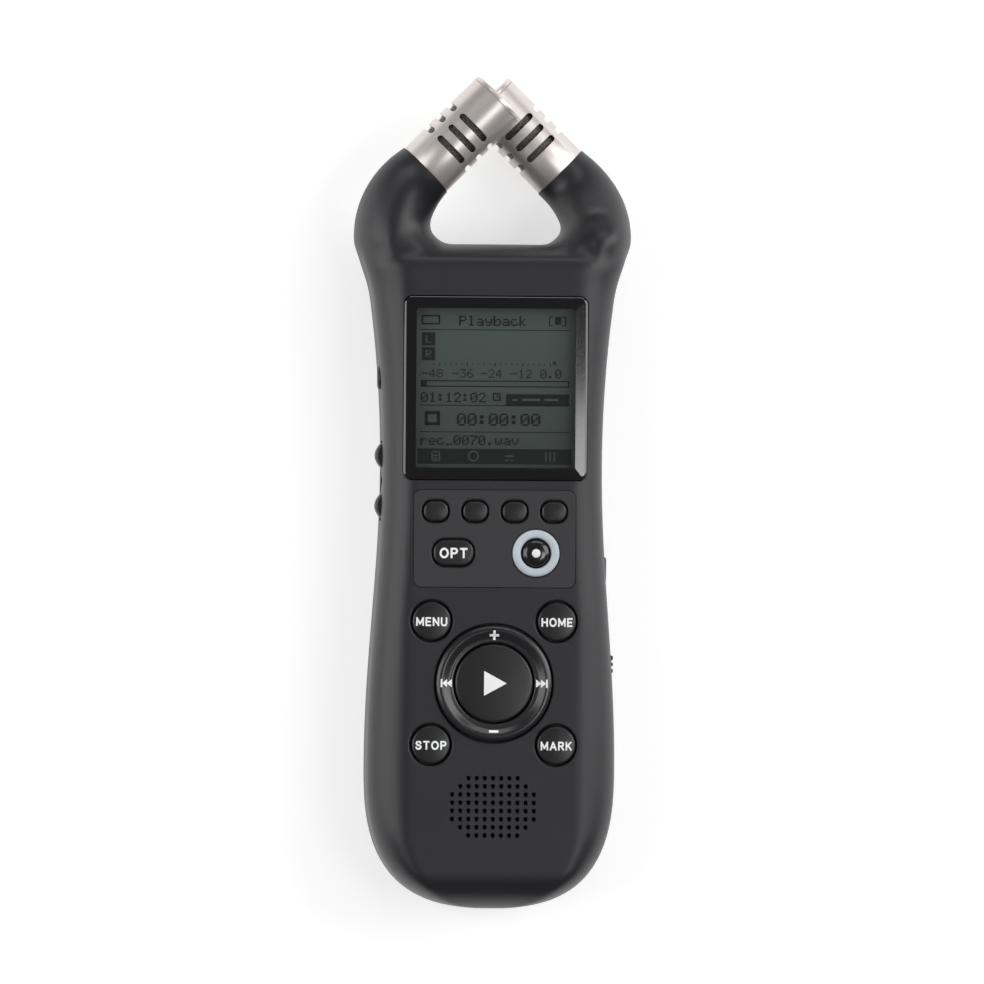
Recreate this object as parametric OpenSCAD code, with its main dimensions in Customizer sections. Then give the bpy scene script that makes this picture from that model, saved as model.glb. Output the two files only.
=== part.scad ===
// Portable field recorder with two crossed microphones in a D-shaped guard.
// It lies on its back: +Z out of the front face, +Y towards the microphones, +X to the right.
// Every length is in millimetres.

/* [Casing] */
// Thickness from the back to the flat of the front face
body_t = 26; // [25.6:0.1:26.4]
// Half width at the waist
waist_w = 20.8; // [20.4:0.1:21.2]
// Half width at the hips, the widest place of the lower half
hip_w = 23.55; // [23.2:0.05:23.9]
// Half width at the shoulders, the widest place of all
shoulder_w = 26; // [25.8:0.1:26.2]
// Half width of the flat part of the front and back faces
flat_w = 16; // [15.8:0.1:16.4]
// Wall thickness of both covers
wall = 1.8; // [1.6:0.1:2]

/* [Display] */
// Side of the square window over the display
window_side = 34.9; // [34:0.1:35.2]
// Side of the display's active square
lcd_side = 29.6; // [28:0.1:30]

/* [Keys] */
// Diameter of the four round keys
round_key_d = 7.25; // [7:0.05:7.4]
// Outer diameter of the tilting ring
nav_ring_d = 22; // [21.6:0.1:22.2]
// Diameter of the play key in the middle of the ring
play_key_d = 14.9; // [14.4:0.1:15]
// How far a key travels when it is pressed
key_travel = 0.6; // [0.4:0.1:0.6]

/* [Microphones] */
// Diameter of a microphone barrel
barrel_d = 11.4; // [11:0.1:11.6]
// Length of a barrel outside the guard
barrel_len = 19.8; // [19:0.1:20]
// Height between the axes of the two crossed barrels
barrel_gap = 11.8; // [11.7:0.1:12]
// Width of a barrel's sound slots
slot_w = 1.3; // [1:0.1:1.4]

/* [Batteries] */
// Diameter of one cell
cell_d = 14.5; // [14.2:0.1:14.5]
// Length of one cell with its nub
cell_len = 50.5; // [50:0.1:50.5]

/* [Hidden] */
$fn = 48;
cover_fn = 26;
eps = 0.01;
tall = 40;

// Outline: places along Y
end_y = -79;
hip_y = -52;
waist_y = 5;
flare_y = 36.5;
shoulder_y = 49.8;
crotch_y = 47;
end_exp = 2.7;
flare_gain = 2.1;
flare_slope = 0.57;
tip_half_w = 3.2;

// Rounding of the long edges: height of the rounded part, and run at the two ends
edge_h = 8;
end_run = 7;
crotch_run = 4;
section_steps = 6;
mid_z = body_t / 2;

// Horns of the guard: centre line is an arc about (arc_x, arc_y), mirrored for the other side
arc_x = 0.65;
arc_y = 47.1;
arc_r = 20.1;
arc_bulge = 0.5;
arc_end_r = 19.6;
horn_w = 6.6;
horn_h = 11.3;
horn_tip_r = barrel_d / 2 + 0.15;
horn_steps = 5;
horn_sides = 28;

// Microphone barrels: the base centre of the left one; the right one mirrors it
barrel_r = barrel_d / 2;
barrel_x = arc_x - arc_end_r * cos(45);
barrel_y = arc_y + arc_end_r * sin(45);
barrel_wall = 0.8;
stub_r = horn_tip_r - wall - 0.4;
stub_len = 1.5;
slot_half_chord = 2.8;
slot_pitch = 2.95;
slot_first = barrel_len - 13.85;
window_turn = [-6, -12];

// Levels of the inside, from the back upwards
tray_z = 3.4;
tray_top = 18.4;
board_z = 18.6;
board_t = 1.2;
board_top = board_z + board_t;
mat_z = board_top + 0.45;
mat_t = 0.5;
stem_z = mat_z + mat_t + key_travel + 0.15;
flange_z = 22.5;
flange_t = 0.9;
flange_lip = 0.45;
key_top = body_t + 0.7;

// Display
window_y = 19.65;
window_t = 1.3;
window_top = body_t + 0.15;
window_bore = 32.4;
lcd_z = 21.4;
lcd_t = 2.2;
lcd_rim = 0.8;

// Inlay with the soft keys, the option key and the record key
inlay_y = -8.85;
inlay_size = [30.7, 18.5];
inlay_t = 0.6;
soft_x = [-11.2, -3.75, 3.75, 11.2];
soft_y = -3.7;
soft_size = [4.65, 3.8];
soft_r = 1.7;
opt_x = -7.83;
opt_size = [7.6, 4.9];
opt_r = 2.2;
record_x = 7.83;
opt_y = -11.55;
record_ring_d = 8.9;
record_ring_bore = 5.7;
record_key_d = 5.1;
lamp_d = 1.7;

// Round keys about the ring
nav_y = -36.2;
key_dx = 11.88;
key_dy = 11.7;
key_gap = 0.25;
well_lip = 0.4;
nav_gap = 0.3;
nav_rim_z = body_t + 1.1;
nav_bottom = 22.6;
nav_flange_r = 12.2;
gimbal_z = 21.5;
gimbal_t = 0.6;

// Speaker
speaker_y = -59.6;
speaker_r = 9.5;
grille_rows = [7, 9, 11, 11, 11, 11, 9, 7];
grille_pitch = 1.55;
grille_hole_d = 0.8;

// Battery bay and its door
cell_r = cell_d / 2;
cell_x = 7.6;
cell_z = 9.7;
cell_y0 = -65.2;
bay_y0 = -67.6;
bay_y1 = -12;
bay_w = 15.4;
bay_wall = 0.8;
door_w = 16.2;
door_y0 = -67;
hinge_y = -7;
hinge_z = 1.6;
hinge_r = 1.6;
hinge_split = 7.9;
door_t = 1.8;
door_gap = 0.3;
hinge_pin_r = 0.75;

// Things in the side walls
jack_y = 21.6;
jack_z = 15.6;
jack_bore_r = 1.78;
jack_collar_r = 2.25;
phones_y = 32;
usb_y = 7;
usb_size = [7.6, 2.7];
usb_z = 15.4;
card_y = 19.5;
rocker_y = 2;
rocker_half = 7.2;
rocker_lobe = 1.25;
rocker_t = 4.6;
rocker_pin_x = -17.2;
rocker_pin_r = 0.7;
button_y = -14.65;
button_size = [4.9, 3.4];
button_proud = 0.5;
hold_y = -32.6;
hold_size = [3.45, 3.2];
hold_proud = 0.6;
hold_travel = 2.4;

// Fasteners
tripod_y = 12;
tripod_r = 4.6;
tripod_bore_r = 2.6;
tripod_len = 7;
case_screw_at = [[-8, 41.3], [8, 41.3], [-11.6, -71.8], [11.6, -71.8]];
board_screw_r = 0.8;
board_screw_head_r = 1.5;
board_screw_at = [[-13.2, 38.4], [13.2, 38.4], [-13.2, -62], [13.2, -62]];

// ---------------------------------------------------------------- outline and sections

function mix(a, b, u) = a + (b - a) * u;
function smooth(u) = u * u * (3 - 2 * u);

// Half width of the casing at y; inset moves it inwards
function half_width(y, inset = 0) =
    y < hip_y ? end_width(y, inset) : (y < waist_y ? hip_width(y) : upper_width(y)) - inset;

function end_width(y, inset) =
    let (u = (hip_y - y) / (hip_y - end_y - inset))
    max(tip_half_w, (hip_w - inset) * pow(max(0, 1 - pow(u, end_exp)), 1 / end_exp));

function hip_width(y) =
    let (u = (waist_y - y) / (waist_y - hip_y))
    mix(waist_w, hip_w, (1 - cos(180 * u)) / 2);

function upper_width(y) =
    y < flare_y ? waist_w + flare_gain * pow((y - waist_y) / (flare_y - waist_y), 2)
                : shoulder_width((y - flare_y) / (shoulder_y - flare_y));

function shoulder_width(u) =
    let (start = waist_w + flare_gain)
    mix(start, shoulder_w, flare_slope * (u * u * u - 2 * u * u + u) + smooth(u));

// How much of the rounded edge's height is reached at a distance d from the edge
function edge_rise(d, run) = d >= run ? 1 : sqrt(max(0, 1 - pow(1 - d / run, 2)));

function half_height(y, inset = 0) =
    let (low = edge_rise(y - end_y - inset, end_run), high = edge_rise(crotch_y - inset - y, crotch_run))
    mid_z - edge_h + (edge_h - inset) * min(low, high);

// Places along Y of the casing's cross-sections
end_places = [for (a = [90, 80, 70, 60, 50, 40, 30, 15]) sin(a)];
mid_places = [hip_y, -40, -28, -16, -5, waist_y, 15, 25, 32, flare_y, 39, 41];
top_places = [3.3, 1.6, 0.6, 0];

function places(inset) = concat(
    [for (s = end_places) hip_y - (hip_y - end_y - inset) * s],
    mid_places,
    [for (d = top_places) crotch_y - inset - d]
);

// A cross-section: flat top and bottom, elliptical corners
function section_points(w, h, corner_h) =
    let (flat = min(flat_w, w * 0.72), corner_w = w - flat, rise = min(corner_h, h))
    [for (q = [0:3], k = [0:section_steps])
        let (a = 90 * q + 90 * k / section_steps, sx = (q == 0 || q == 3) ? 1 : -1, sy = q < 2 ? 1 : -1)
        [sx * flat + corner_w * cos(a), sy * (h - rise) + rise * sin(a)]];

// A closed solid through rings of points, each ring running the same way round
module loft(rings) {
    n = len(rings[0]);
    last = (len(rings) - 1) * n;
    polyhedron(
        points = [for (r = rings) each r],
        faces = concat(
            [for (i = [0:len(rings) - 2], k = [0:n - 1])
                let (j = (k + 1) % n)
                [i * n + k, i * n + j, (i + 1) * n + j, (i + 1) * n + k]],
            [[for (k = [n - 1:-1:0]) k], [for (k = [0:n - 1]) last + k]]
        )
    );
}

module casing_body(inset) {
    loft([for (y = places(inset))
        [for (p = section_points(half_width(y, inset), half_height(y, inset), edge_h - inset))
            [p[0], y, mid_z + p[1]]]]);
}

// One cross-section of a horn: place, heading, half width, half height, height of its centre
function horn_section(u, side) =
    let (a = 45 * u, r = mix(arc_r, arc_end_r, smooth(u)) + arc_bulge * sin(180 * u))
    [arc_x - r * cos(a), arc_y + r * sin(a), 90 - a, mix(horn_w, horn_tip_r, u * u),
     mix(horn_h, horn_tip_r, smooth(min(1, 1.15 * u))), mid_z - side * barrel_gap / 2 * smooth(u)];

function horn_root() = [[-15.4, 34, 90, 6.2, 11.6, mid_z], [-17.6, 41, 90, 6.7, 11.9, mid_z]];

function horn_mouth(side, past) =
    let (s = horn_section(1, side))
    [s[0] + past * cos(45), s[1] + past * sin(45), s[2], s[3], s[4], s[5]];

function horn_ring(s, inset) =
    [for (k = [0:horn_sides - 1])
        let (t = 360 * (k + 0.5) / horn_sides, x = (s[3] - inset) * cos(t))
        [s[0] + x * sin(s[2]), s[1] - x * cos(s[2]), s[5] + (s[4] - inset) * sin(t)]];

// The left horn has side -1 and rises to the front; the right one has side 1 and drops to the back
module horn(side, inset) {
    mirror([side > 0 ? 1 : 0, 0, 0])
        loft([for (s = concat(
                horn_root(),
                [for (k = [0:horn_steps]) horn_section(k / horn_steps, side)],
                inset > 0 ? [horn_mouth(side, 2)] : []
            ))
            horn_ring(s, inset)]);
}

module casing(inset) {
    casing_body(inset);
    horn(-1, inset);
    horn(1, inset);
}

// Everything behind the parting line, which follows the horns' centres
module behind_parting() {
    for (side = [-1, 1])
        mirror([side > 0 ? 1 : 0, 0, 0])
            rotate([90, 0, -90])
                linear_extrude(tall)
                    polygon([
                        [-end_y + 9, -1], [-end_y + 9, mid_z], [-arc_y - 0.4, mid_z],
                        [-barrel_y + 2, mid_z - side * barrel_gap / 2],
                        [-barrel_y - 9, mid_z - side * barrel_gap / 2], [-barrel_y - 9, -1]
                    ]);
}

module shell() {
    difference() {
        casing(0);
        casing(wall);
    }
}

// ---------------------------------------------------------------- plain shapes

module rounded_rect(size, r) {
    square([size[0] - 2 * r, size[1]], center = true);
    square([size[0], size[1] - 2 * r], center = true);
    for (sx = [-1, 1], sy = [-1, 1])
        translate([sx * (size[0] / 2 - r), sy * (size[1] / 2 - r)])
            circle(r);
}

module block(size, r, z0, z1) {
    translate([0, 0, z0])
        linear_extrude(z1 - z0)
            rounded_rect(size, r);
}

module disc(r, z0, z1) {
    translate([0, 0, z0])
        cylinder(r = r, h = z1 - z0);
}

module ring(r_out, r_in, z0, z1) {
    difference() {
        disc(r_out, z0, z1);
        disc(r_in, z0 - 1, z1 + 1);
    }
}

module box(from, to) {
    translate(from)
        cube(to - from);
}

// A rod along X from x0 to x1
module x_rod(r, x0, x1) {
    translate([x0, 0, 0])
        rotate([0, 90, 0])
            cylinder(r = r, h = x1 - x0);
}

// A hole with rounded corners, for the covers
module soft_hole(size, r, z0, z1) {
    translate([0, 0, z0])
        linear_extrude(z1 - z0)
            hull()
                for (sx = [-1, 1], sy = [-1, 1])
                    translate([sx * (size[0] / 2 - r), sy * (size[1] / 2 - r)])
                        circle(r, $fn = 24);
}

// A key's hole with its bevelled rim
module round_well(d) {
    disc(d / 2 + key_gap, 20, body_t + 2);
    translate([0, 0, body_t - 0.5])
        cylinder(r1 = d / 2 + key_gap, r2 = d / 2 + key_gap + well_lip, h = 0.5 + eps);
}

function grown(size, by) = [size[0] + 2 * by, size[1] + 2 * by];

module key_hole(size, r) {
    block(grown(size, key_gap), r + key_gap, 20, body_t + 2);
}

// ---------------------------------------------------------------- covers

module case_post(z0, z1, bore_r) {
    $fn = cover_fn;
    difference() {
        disc(2.6, z0, z1);
        disc(bore_r, z0 - 1, z1 - 2);
    }
}

module front_cuts() {
    $fn = cover_fn;
    translate([0, window_y, 0]) {
        soft_hole(grown([window_side, window_side], 0.15), 1.7, window_top - window_t - 0.1, body_t + 2);
        soft_hole([window_bore, window_bore], 1, 20, body_t + 2);
    }
    translate([0, inlay_y, 0])
        soft_hole(grown(inlay_size, 0.1), 1.6, body_t - inlay_t, body_t + 2);
    for (x = soft_x)
        translate([x, soft_y, 0])
            soft_hole(grown(soft_size, key_gap), soft_r + key_gap, 20, body_t + 2);
    translate([opt_x, opt_y, 0])
        soft_hole(grown(opt_size, key_gap), opt_r + key_gap, 20, body_t + 2);
    translate([record_x, opt_y, 0])
        disc(record_ring_d / 2 + 0.1, 20, body_t + 2);
    for (sx = [-1, 1], sy = [-1, 1])
        translate([sx * key_dx, nav_y + sy * key_dy, 0])
            round_well(round_key_d);
    translate([0, nav_y, 0])
        disc(nav_ring_d / 2 + nav_gap, 20, body_t + 2, $fn = 72);
    grille_holes();
    side_cuts();
}

module grille_holes() {
    rows = len(grille_rows);
    for (row = [0:rows - 1], i = [0:grille_rows[row] - 1])
        translate([
            (i - (grille_rows[row] - 1) / 2) * grille_pitch,
            speaker_y + ((rows - 1) / 2 - row) * grille_pitch,
            20
        ])
            cylinder(d = grille_hole_d, h = 8, $fn = 6);
}

// A slot through a side wall, its size given along Y and Z
module side_slot(y, z, size, side) {
    translate([side * 10, y, z])
        rotate([0, side * 90, 0])
            soft_hole([size[1], size[0]], 0.5, 0, tall);
}

// Openings in the side walls, which both covers share
module side_cuts() {
    translate([0, jack_y, jack_z])
        x_rod(jack_collar_r + 0.15, -tall, -10);
    translate([0, phones_y, jack_z])
        x_rod(jack_collar_r + 0.15, 10, tall);
    side_slot(usb_y, usb_z + usb_size[1] / 2 + 0.1, [usb_size[0] + 0.4, usb_size[1] + 0.4], 1);
    side_slot(card_y, 17.3, [11.6, 1.1], 1);
    side_slot(rocker_y, mid_z, [2 * rocker_half + 1, rocker_t + 0.6], -1);
    side_slot(button_y, mid_z, grown(button_size, key_gap), 1);
    side_slot(hold_y - hold_travel / 2, mid_z, [hold_size[0] + hold_travel + 0.5, hold_size[1] + 0.5], 1);
}

module front_cover() {
    $fn = cover_fn;
    color([0.13, 0.13, 0.14])
        difference() {
            union() {
                difference() {
                    shell();
                    behind_parting();
                }
                for (p = case_screw_at)
                    translate(p)
                        case_post(mid_z, body_t - 1, 1);
                for (p = board_screw_at)
                    translate(p)
                        difference() {
                            disc(1.7, board_top, body_t - 1);
                            disc(board_screw_r + 0.1, board_top - 1, body_t - 3);
                        }
            }
            front_cuts();
        }
}

module rear_cover() {
    $fn = cover_fn;
    color([0.12, 0.12, 0.13])
        difference() {
            union() {
                intersection() {
                    shell();
                    behind_parting();
                }
                for (p = case_screw_at)
                    translate(p)
                        disc(2.6, 1, mid_z);
                translate([0, tripod_y, 0])
                    disc(tripod_r + 1.8, 1, tripod_len);
            }
            for (p = case_screw_at)
                translate(p) {
                    disc(1.35, -1, mid_z + 1);
                    disc(2.5, -1, 3);
                }
            translate([0, tripod_y, 0])
                disc(tripod_r + 0.1, -1, tripod_len + 1);
            box([-door_w - door_gap, door_y0 - door_gap, -1],
                [door_w + door_gap, hinge_y + hinge_r + 0.35, 5]);
            side_cuts();
        }
}

// ---------------------------------------------------------------- display

module display_window() {
    color([0.05, 0.05, 0.06])
        translate([0, window_y, 0])
            block([window_side, window_side], 1.6, window_top - window_t, window_top);
}

module lcd_panel() {
    color([0.35, 0.41, 0.37])
        translate([0, window_y, 0])
            block([lcd_side + 1, lcd_side + 1], 0.3, lcd_z + 0.5, lcd_z + lcd_t);
}

module lcd_frame() {
    color([0.55, 0.56, 0.57])
        translate([0, window_y, 0])
            difference() {
                block(grown([lcd_side + 1, lcd_side + 1], lcd_rim), 0.8, lcd_z - 0.3, lcd_z + lcd_t - 0.3);
                block([lcd_side + 1, lcd_side + 1], 0.3, lcd_z + 0.5, lcd_z + lcd_t + 1);
            }
}

// ---------------------------------------------------------------- keys

module keypad_inlay() {
    color([0.11, 0.11, 0.12])
        difference() {
            translate([0, inlay_y, 0])
                block(inlay_size, 1.5, body_t - inlay_t, body_t + 0.05);
            for (x = soft_x)
                translate([x, soft_y, 0])
                    key_hole(soft_size, soft_r);
            translate([opt_x, opt_y, 0])
                key_hole(opt_size, opt_r);
            translate([record_x, opt_y, 0])
                disc(record_ring_d / 2 + 0.1, 20, body_t + 2);
        }
}

// A key with a flat-sided cap, a flange that keeps it in the case, and a stem on its switch
module shaped_key(size, r) {
    block(size, r, flange_z, key_top - 0.15);
    block(grown(size, -0.25), r - 0.25, key_top - 0.15, key_top);
    block(grown(size, flange_lip), r + flange_lip, flange_z, flange_z + flange_t);
    disc(1.3, stem_z, flange_z);
}

module round_key() {
    r = round_key_d / 2;
    rotate_extrude()
        polygon([
            [0, stem_z], [1.6, stem_z], [1.6, flange_z], [r + flange_lip, flange_z],
            [r + flange_lip, flange_z + flange_t], [r, flange_z + flange_t], [r, body_t + 0.1],
            [r - 0.25, body_t + 0.45], [r - 1.4, body_t + 0.65], [0, key_top]
        ]);
}

module soft_key(i) {
    color([0.09, 0.09, 0.1])
        translate([soft_x[i], soft_y, 0])
            shaped_key(soft_size, soft_r);
}

module soft_key_1() { soft_key(0); }
module soft_key_2() { soft_key(1); }
module soft_key_3() { soft_key(2); }
module soft_key_4() { soft_key(3); }

module option_key() {
    color([0.09, 0.09, 0.1])
        translate([opt_x, opt_y, 0])
            shaped_key(opt_size, opt_r);
}

// Light guide around the record key, with a foot under the cover
module record_ring() {
    color([0.74, 0.78, 0.82])
        translate([record_x, opt_y, 0])
            rotate_extrude()
                polygon([
                    [record_ring_bore / 2, 23.2], [record_ring_d / 2, 23.2],
                    [record_ring_d / 2, body_t + 0.25], [record_ring_d / 2 - 0.4, body_t + 0.5],
                    [record_ring_bore / 2 + 0.3, body_t + 0.45], [record_ring_bore / 2, body_t + 0.2]
                ]);
}

module record_key() {
    r = record_key_d / 2;
    color([0.07, 0.07, 0.08])
        translate([record_x, opt_y, 0])
            difference() {
                rotate_extrude()
                    polygon([
                        [0, stem_z], [1.3, stem_z], [1.3, 22], [r + 0.6, 22], [r + 0.6, 22.7],
                        [r, 22.7], [r, body_t + 0.2], [r - 0.5, body_t + 0.6], [r - 1.2, body_t + 0.75],
                        [0, body_t + 0.8]
                    ]);
                disc(lamp_d / 2, body_t - 1, body_t + 2);
            }
}

module record_lamp() {
    color([0.95, 0.95, 0.95])
        translate([record_x, opt_y, 0])
            disc(lamp_d / 2, body_t - 1, body_t + 0.8);
}

module menu_key() { corner_key(-1, 1); }
module home_key() { corner_key(1, 1); }
module stop_key() { corner_key(-1, -1); }
module mark_key() { corner_key(1, -1); }

module corner_key(sx, sy) {
    color([0.09, 0.09, 0.1])
        translate([sx * key_dx, nav_y + sy * key_dy, 0])
            round_key();
}

// Ring that tilts under a finger: a raised rim and a dished track with the marks
module nav_ring() {
    r = nav_ring_d / 2;
    bore = play_key_d / 2 + nav_gap;
    color([0.1, 0.1, 0.11])
        translate([0, nav_y, 0])
            rotate_extrude()
                polygon([
                    [bore, nav_bottom], [nav_flange_r, nav_bottom], [nav_flange_r, nav_bottom + 0.8],
                    [r, nav_bottom + 0.8], [r, body_t + 0.5], [r - 0.4, body_t + 1],
                    [r - 0.9, nav_rim_z], [r - 1.5, body_t + 0.9], [r - 2.3, body_t + 0.5],
                    [bore + 0.4, body_t + 0.5], [bore, body_t + 0.2]
                ]);
}

// Cross-shaped carrier under the ring: it rocks one way, the ring rocks the other way on it
module nav_gimbal() {
    color([0.75, 0.75, 0.72])
        translate([0, nav_y, 0]) {
            ring(8.6, 6, gimbal_z, gimbal_z + gimbal_t);
            for (a = [0, 90])
                rotate([0, 0, a])
                    for (s = [-1, 1])
                        translate([s * 9, 0, gimbal_z + gimbal_t / 2])
                            cube([1.6, 1.6, gimbal_t], center = true);
        }
}

module play_key() {
    r = play_key_d / 2;
    color([0.09, 0.09, 0.1])
        translate([0, nav_y, 0])
            rotate_extrude()
                polygon([
                    [0, stem_z], [4.5, stem_z], [4.5, 23.4], [r, 23.4], [r, body_t + 0.35],
                    [r - 0.35, body_t + 0.7], [r - 2, body_t + 0.85], [0, body_t + 0.9]
                ]);
}

module key_mat() {
    color([0.25, 0.25, 0.26])
        translate([0, -26, 0])
            block([31, 56], 2, mat_z, mat_z + mat_t);
}

// ---------------------------------------------------------------- electronics

key_places = concat(
    [for (x = soft_x) [x, soft_y]],
    [[opt_x, opt_y], [record_x, opt_y], [0, nav_y]],
    [for (sx = [-1, 1], sy = [-1, 1]) [sx * key_dx, nav_y + sy * key_dy]],
    [for (a = [0:90:270]) [9.4 * cos(a), nav_y + 9.4 * sin(a)]]
);

module switch_domes() {
    color([0.8, 0.8, 0.78])
        for (p = key_places)
            translate([p[0], p[1], board_top])
                cylinder(r1 = 1.9, r2 = 1.2, h = 0.4);
}

module main_board() {
    color([0.05, 0.3, 0.16])
        difference() {
            box([-15, -68, board_z], [15, 40.4, board_top]);
            for (p = case_screw_at)
                translate(p)
                    disc(3, 10, 30);
            for (p = board_screw_at)
                translate(p)
                    disc(1, 10, 30);
        }
}

// Chips and tall parts under the board, above the battery bay's end
module board_components() {
    color([0.12, 0.12, 0.13]) {
        box([-5, 24, 17.2], [3, 32, board_z]);
        box([-5, 4, 17.4], [2, 9, board_z]);
        box([-6, -9, 16.4], [6, -4, board_z]);
        for (x = [-6, -2, 2])
            translate([x, 35.5, 13.4])
                cylinder(r = 1.6, h = board_z - 13.4);
    }
}

module board_screws() {
    color([0.6, 0.6, 0.62])
        for (p = board_screw_at)
            translate(p) {
                disc(board_screw_r, board_z - 0.1, 22.8);
                disc(board_screw_head_r, board_z - 1, board_z);
            }
}

module speaker() {
    color([0.2, 0.2, 0.21])
        translate([0, speaker_y, 0])
            rotate_extrude()
                polygon([
                    [0, board_top + 0.1], [5, board_top + 0.1], [5, 21], [speaker_r - 1.5, 21.6],
                    [speaker_r, 21.6], [speaker_r, 23.2], [speaker_r - 1, 23.2], [speaker_r - 2.6, 22.4],
                    [2.6, 22.6], [0, 23]
                ]);
}

module speaker_gasket() {
    color([0.08, 0.08, 0.08])
        translate([0, speaker_y, 0])
            ring(speaker_r, speaker_r - 0.9, 23.2, body_t - wall - 0.1);
}

// ---------------------------------------------------------------- microphones

// Puts a barrel, drawn along +Z from its base, at the end of its horn
module at_horn(side) {
    mirror([side > 0 ? 1 : 0, 0, 0])
        translate([barrel_x, barrel_y, mid_z - side * barrel_gap / 2])
            rotate([0, 0, 45])
                rotate([0, 90, 0])
                    children();
}

// One sound slot, cut outwards from the axis
module sound_slot(z) {
    translate([0, 0, z]) {
        translate([0, -slot_half_chord, -slot_w / 2])
            cube([barrel_d, 2 * slot_half_chord, slot_w]);
        for (s = [-1, 1])
            translate([0, s * slot_half_chord, 0])
                rotate([0, 90, 0])
                    cylinder(d = slot_w, h = barrel_d);
    }
}

module mic_barrel(side) {
    color([0.78, 0.74, 0.7])
        at_horn(side)
            difference() {
                union() {
                    disc(barrel_r, 0, barrel_len - 1);
                    disc(stub_r, -stub_len, eps);
                }
                disc(barrel_r - barrel_wall, 1.5, barrel_len);
                disc(stub_r - 0.8, -stub_len - 1, 2);
                for (a = [0:90:270])
                    rotate([0, 0, a + window_turn[side > 0 ? 1 : 0]])
                        for (k = [0:2])
                            sound_slot(slot_first + k * slot_pitch);
            }
}

module mic_barrel_left() { mic_barrel(-1); }
module mic_barrel_right() { mic_barrel(1); }

module mic_cap(side) {
    color([0.78, 0.74, 0.7])
        at_horn(side)
            rotate_extrude()
                polygon([
                    [0, barrel_len - 2.4], [barrel_r - barrel_wall - 0.02, barrel_len - 2.4],
                    [barrel_r - barrel_wall - 0.02, barrel_len - 1], [barrel_r, barrel_len - 1],
                    [barrel_r, barrel_len - 0.35], [barrel_r - 0.35, barrel_len], [0, barrel_len]
                ]);
}

module mic_cap_left() { mic_cap(-1); }
module mic_cap_right() { mic_cap(1); }

module mic_mesh(side) {
    color([0.2, 0.19, 0.18])
        at_horn(side)
            ring(barrel_r - barrel_wall - 0.05, barrel_r - barrel_wall - 0.25, 5, barrel_len - 2.6);
}

module mic_mesh_left() { mic_mesh(-1); }
module mic_mesh_right() { mic_mesh(1); }

module mic_capsule(side) {
    color([0.3, 0.3, 0.3])
        at_horn(side) {
            disc(barrel_r - barrel_wall - 0.35, 7, 12);
            disc(2, 3, 7);
        }
}

module mic_capsule_left() { mic_capsule(-1); }
module mic_capsule_right() { mic_capsule(1); }

// ---------------------------------------------------------------- side controls and sockets

// Saddle-shaped rocker: two lobes with the pin behind its middle
module level_rocker() {
    out = half_width(rocker_y);
    inner = out - 2.6;
    color([0.1, 0.1, 0.11])
        translate([0, rocker_y, mid_z - rocker_t / 2])
            difference() {
                linear_extrude(rocker_t) {
                    polygon(concat(
                        [for (k = [-12:12])
                            let (t = k / 12)
                            [-out - rocker_lobe * sin(180 * abs(t)), rocker_half * t]],
                        [[-inner, rocker_half], [-inner, -rocker_half]]
                    ));
                    translate([rocker_pin_x, 0])
                        circle(1.7);
                    translate([-inner - 0.5, -1.5])
                        square([inner + rocker_pin_x + 0.5, 3]);
                }
                translate([rocker_pin_x, 0, -1])
                    cylinder(r = rocker_pin_r + 0.05, h = rocker_t + 2);
            }
}

module rocker_pin() {
    color([0.7, 0.7, 0.72])
        translate([rocker_pin_x, rocker_y, 0])
            disc(rocker_pin_r, mid_z - rocker_t / 2 - 1.2, mid_z + rocker_t / 2 + 1.2);
}

module rocker_bracket() {
    color([0.3, 0.3, 0.31])
        translate([0, rocker_y, mid_z])
            difference() {
                union() {
                    for (s = [-1, 1])
                        translate([0, 0, s * (rocker_t / 2 + 0.7)])
                            translate([-16.1, 0, 0])
                                cube([5.2, 4, 0.9], center = true);
                    translate([-14, 0, 0])
                        cube([1, 4, rocker_t + 2.3], center = true);
                }
                translate([rocker_pin_x, 0, -10])
                    cylinder(r = rocker_pin_r, h = 20);
            }
}

// A 3.5 mm jack: block under the board and a collar through the wall
module jack(side, y, proud) {
    out = half_width(y);
    color([0.09, 0.09, 0.1])
        mirror([side > 0 ? 1 : 0, 0, 0])
            translate([0, y, jack_z])
                difference() {
                    union() {
                        translate([-out + wall + 0.6, -3.2, -3])
                            cube([11, 6.4, 6]);
                        x_rod(jack_collar_r, -out - proud, -out + wall + 1);
                    }
                    x_rod(jack_bore_r, -out - 1, -out + 9);
                }
}

module line_in_jack() { jack(-1, jack_y, 0.4); }
module headphone_jack() { jack(1, phones_y, -0.1); }

module side_button() {
    out = half_width(button_y);
    color([0.1, 0.1, 0.11])
        translate([0, button_y, mid_z])
            rotate([0, 90, 0]) {
                translate([0, 0, out - 2.6])
                    linear_extrude(2.6 + button_proud)
                        rounded_rect([button_size[1], button_size[0]], 0.8);
                translate([0, 0, out - wall - 1.3])
                    linear_extrude(0.8)
                        rounded_rect(grown([button_size[1], button_size[0]], 0.6), 0.8);
            }
}

// Ribbed slider: a plate behind the wall and three ribs in the slot
module hold_switch() {
    out = half_width(hold_y);
    half = hold_size / 2;
    rib = hold_size[0] / 5;
    color([0.1, 0.1, 0.11])
        translate([0, hold_y, mid_z]) {
            box([out - 1.9, -half[0], -half[1]], [out + hold_proud - 0.35, half[0], half[1]]);
            box([out - wall - 1.2, -half[0] - 0.6, -half[1] - 0.8],
                [out - wall - 0.5, half[0] + 0.6, half[1] + 0.8]);
            box([out - wall - 0.6, -half[0], -half[1]], [out - 1.5, half[0], half[1]]);
            for (k = [0:2])
                box([out + hold_proud - 0.4, -half[0] + 2 * k * rib, -half[1]],
                    [out + hold_proud, -half[0] + (2 * k + 1) * rib, half[1]]);
        }
}

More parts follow.
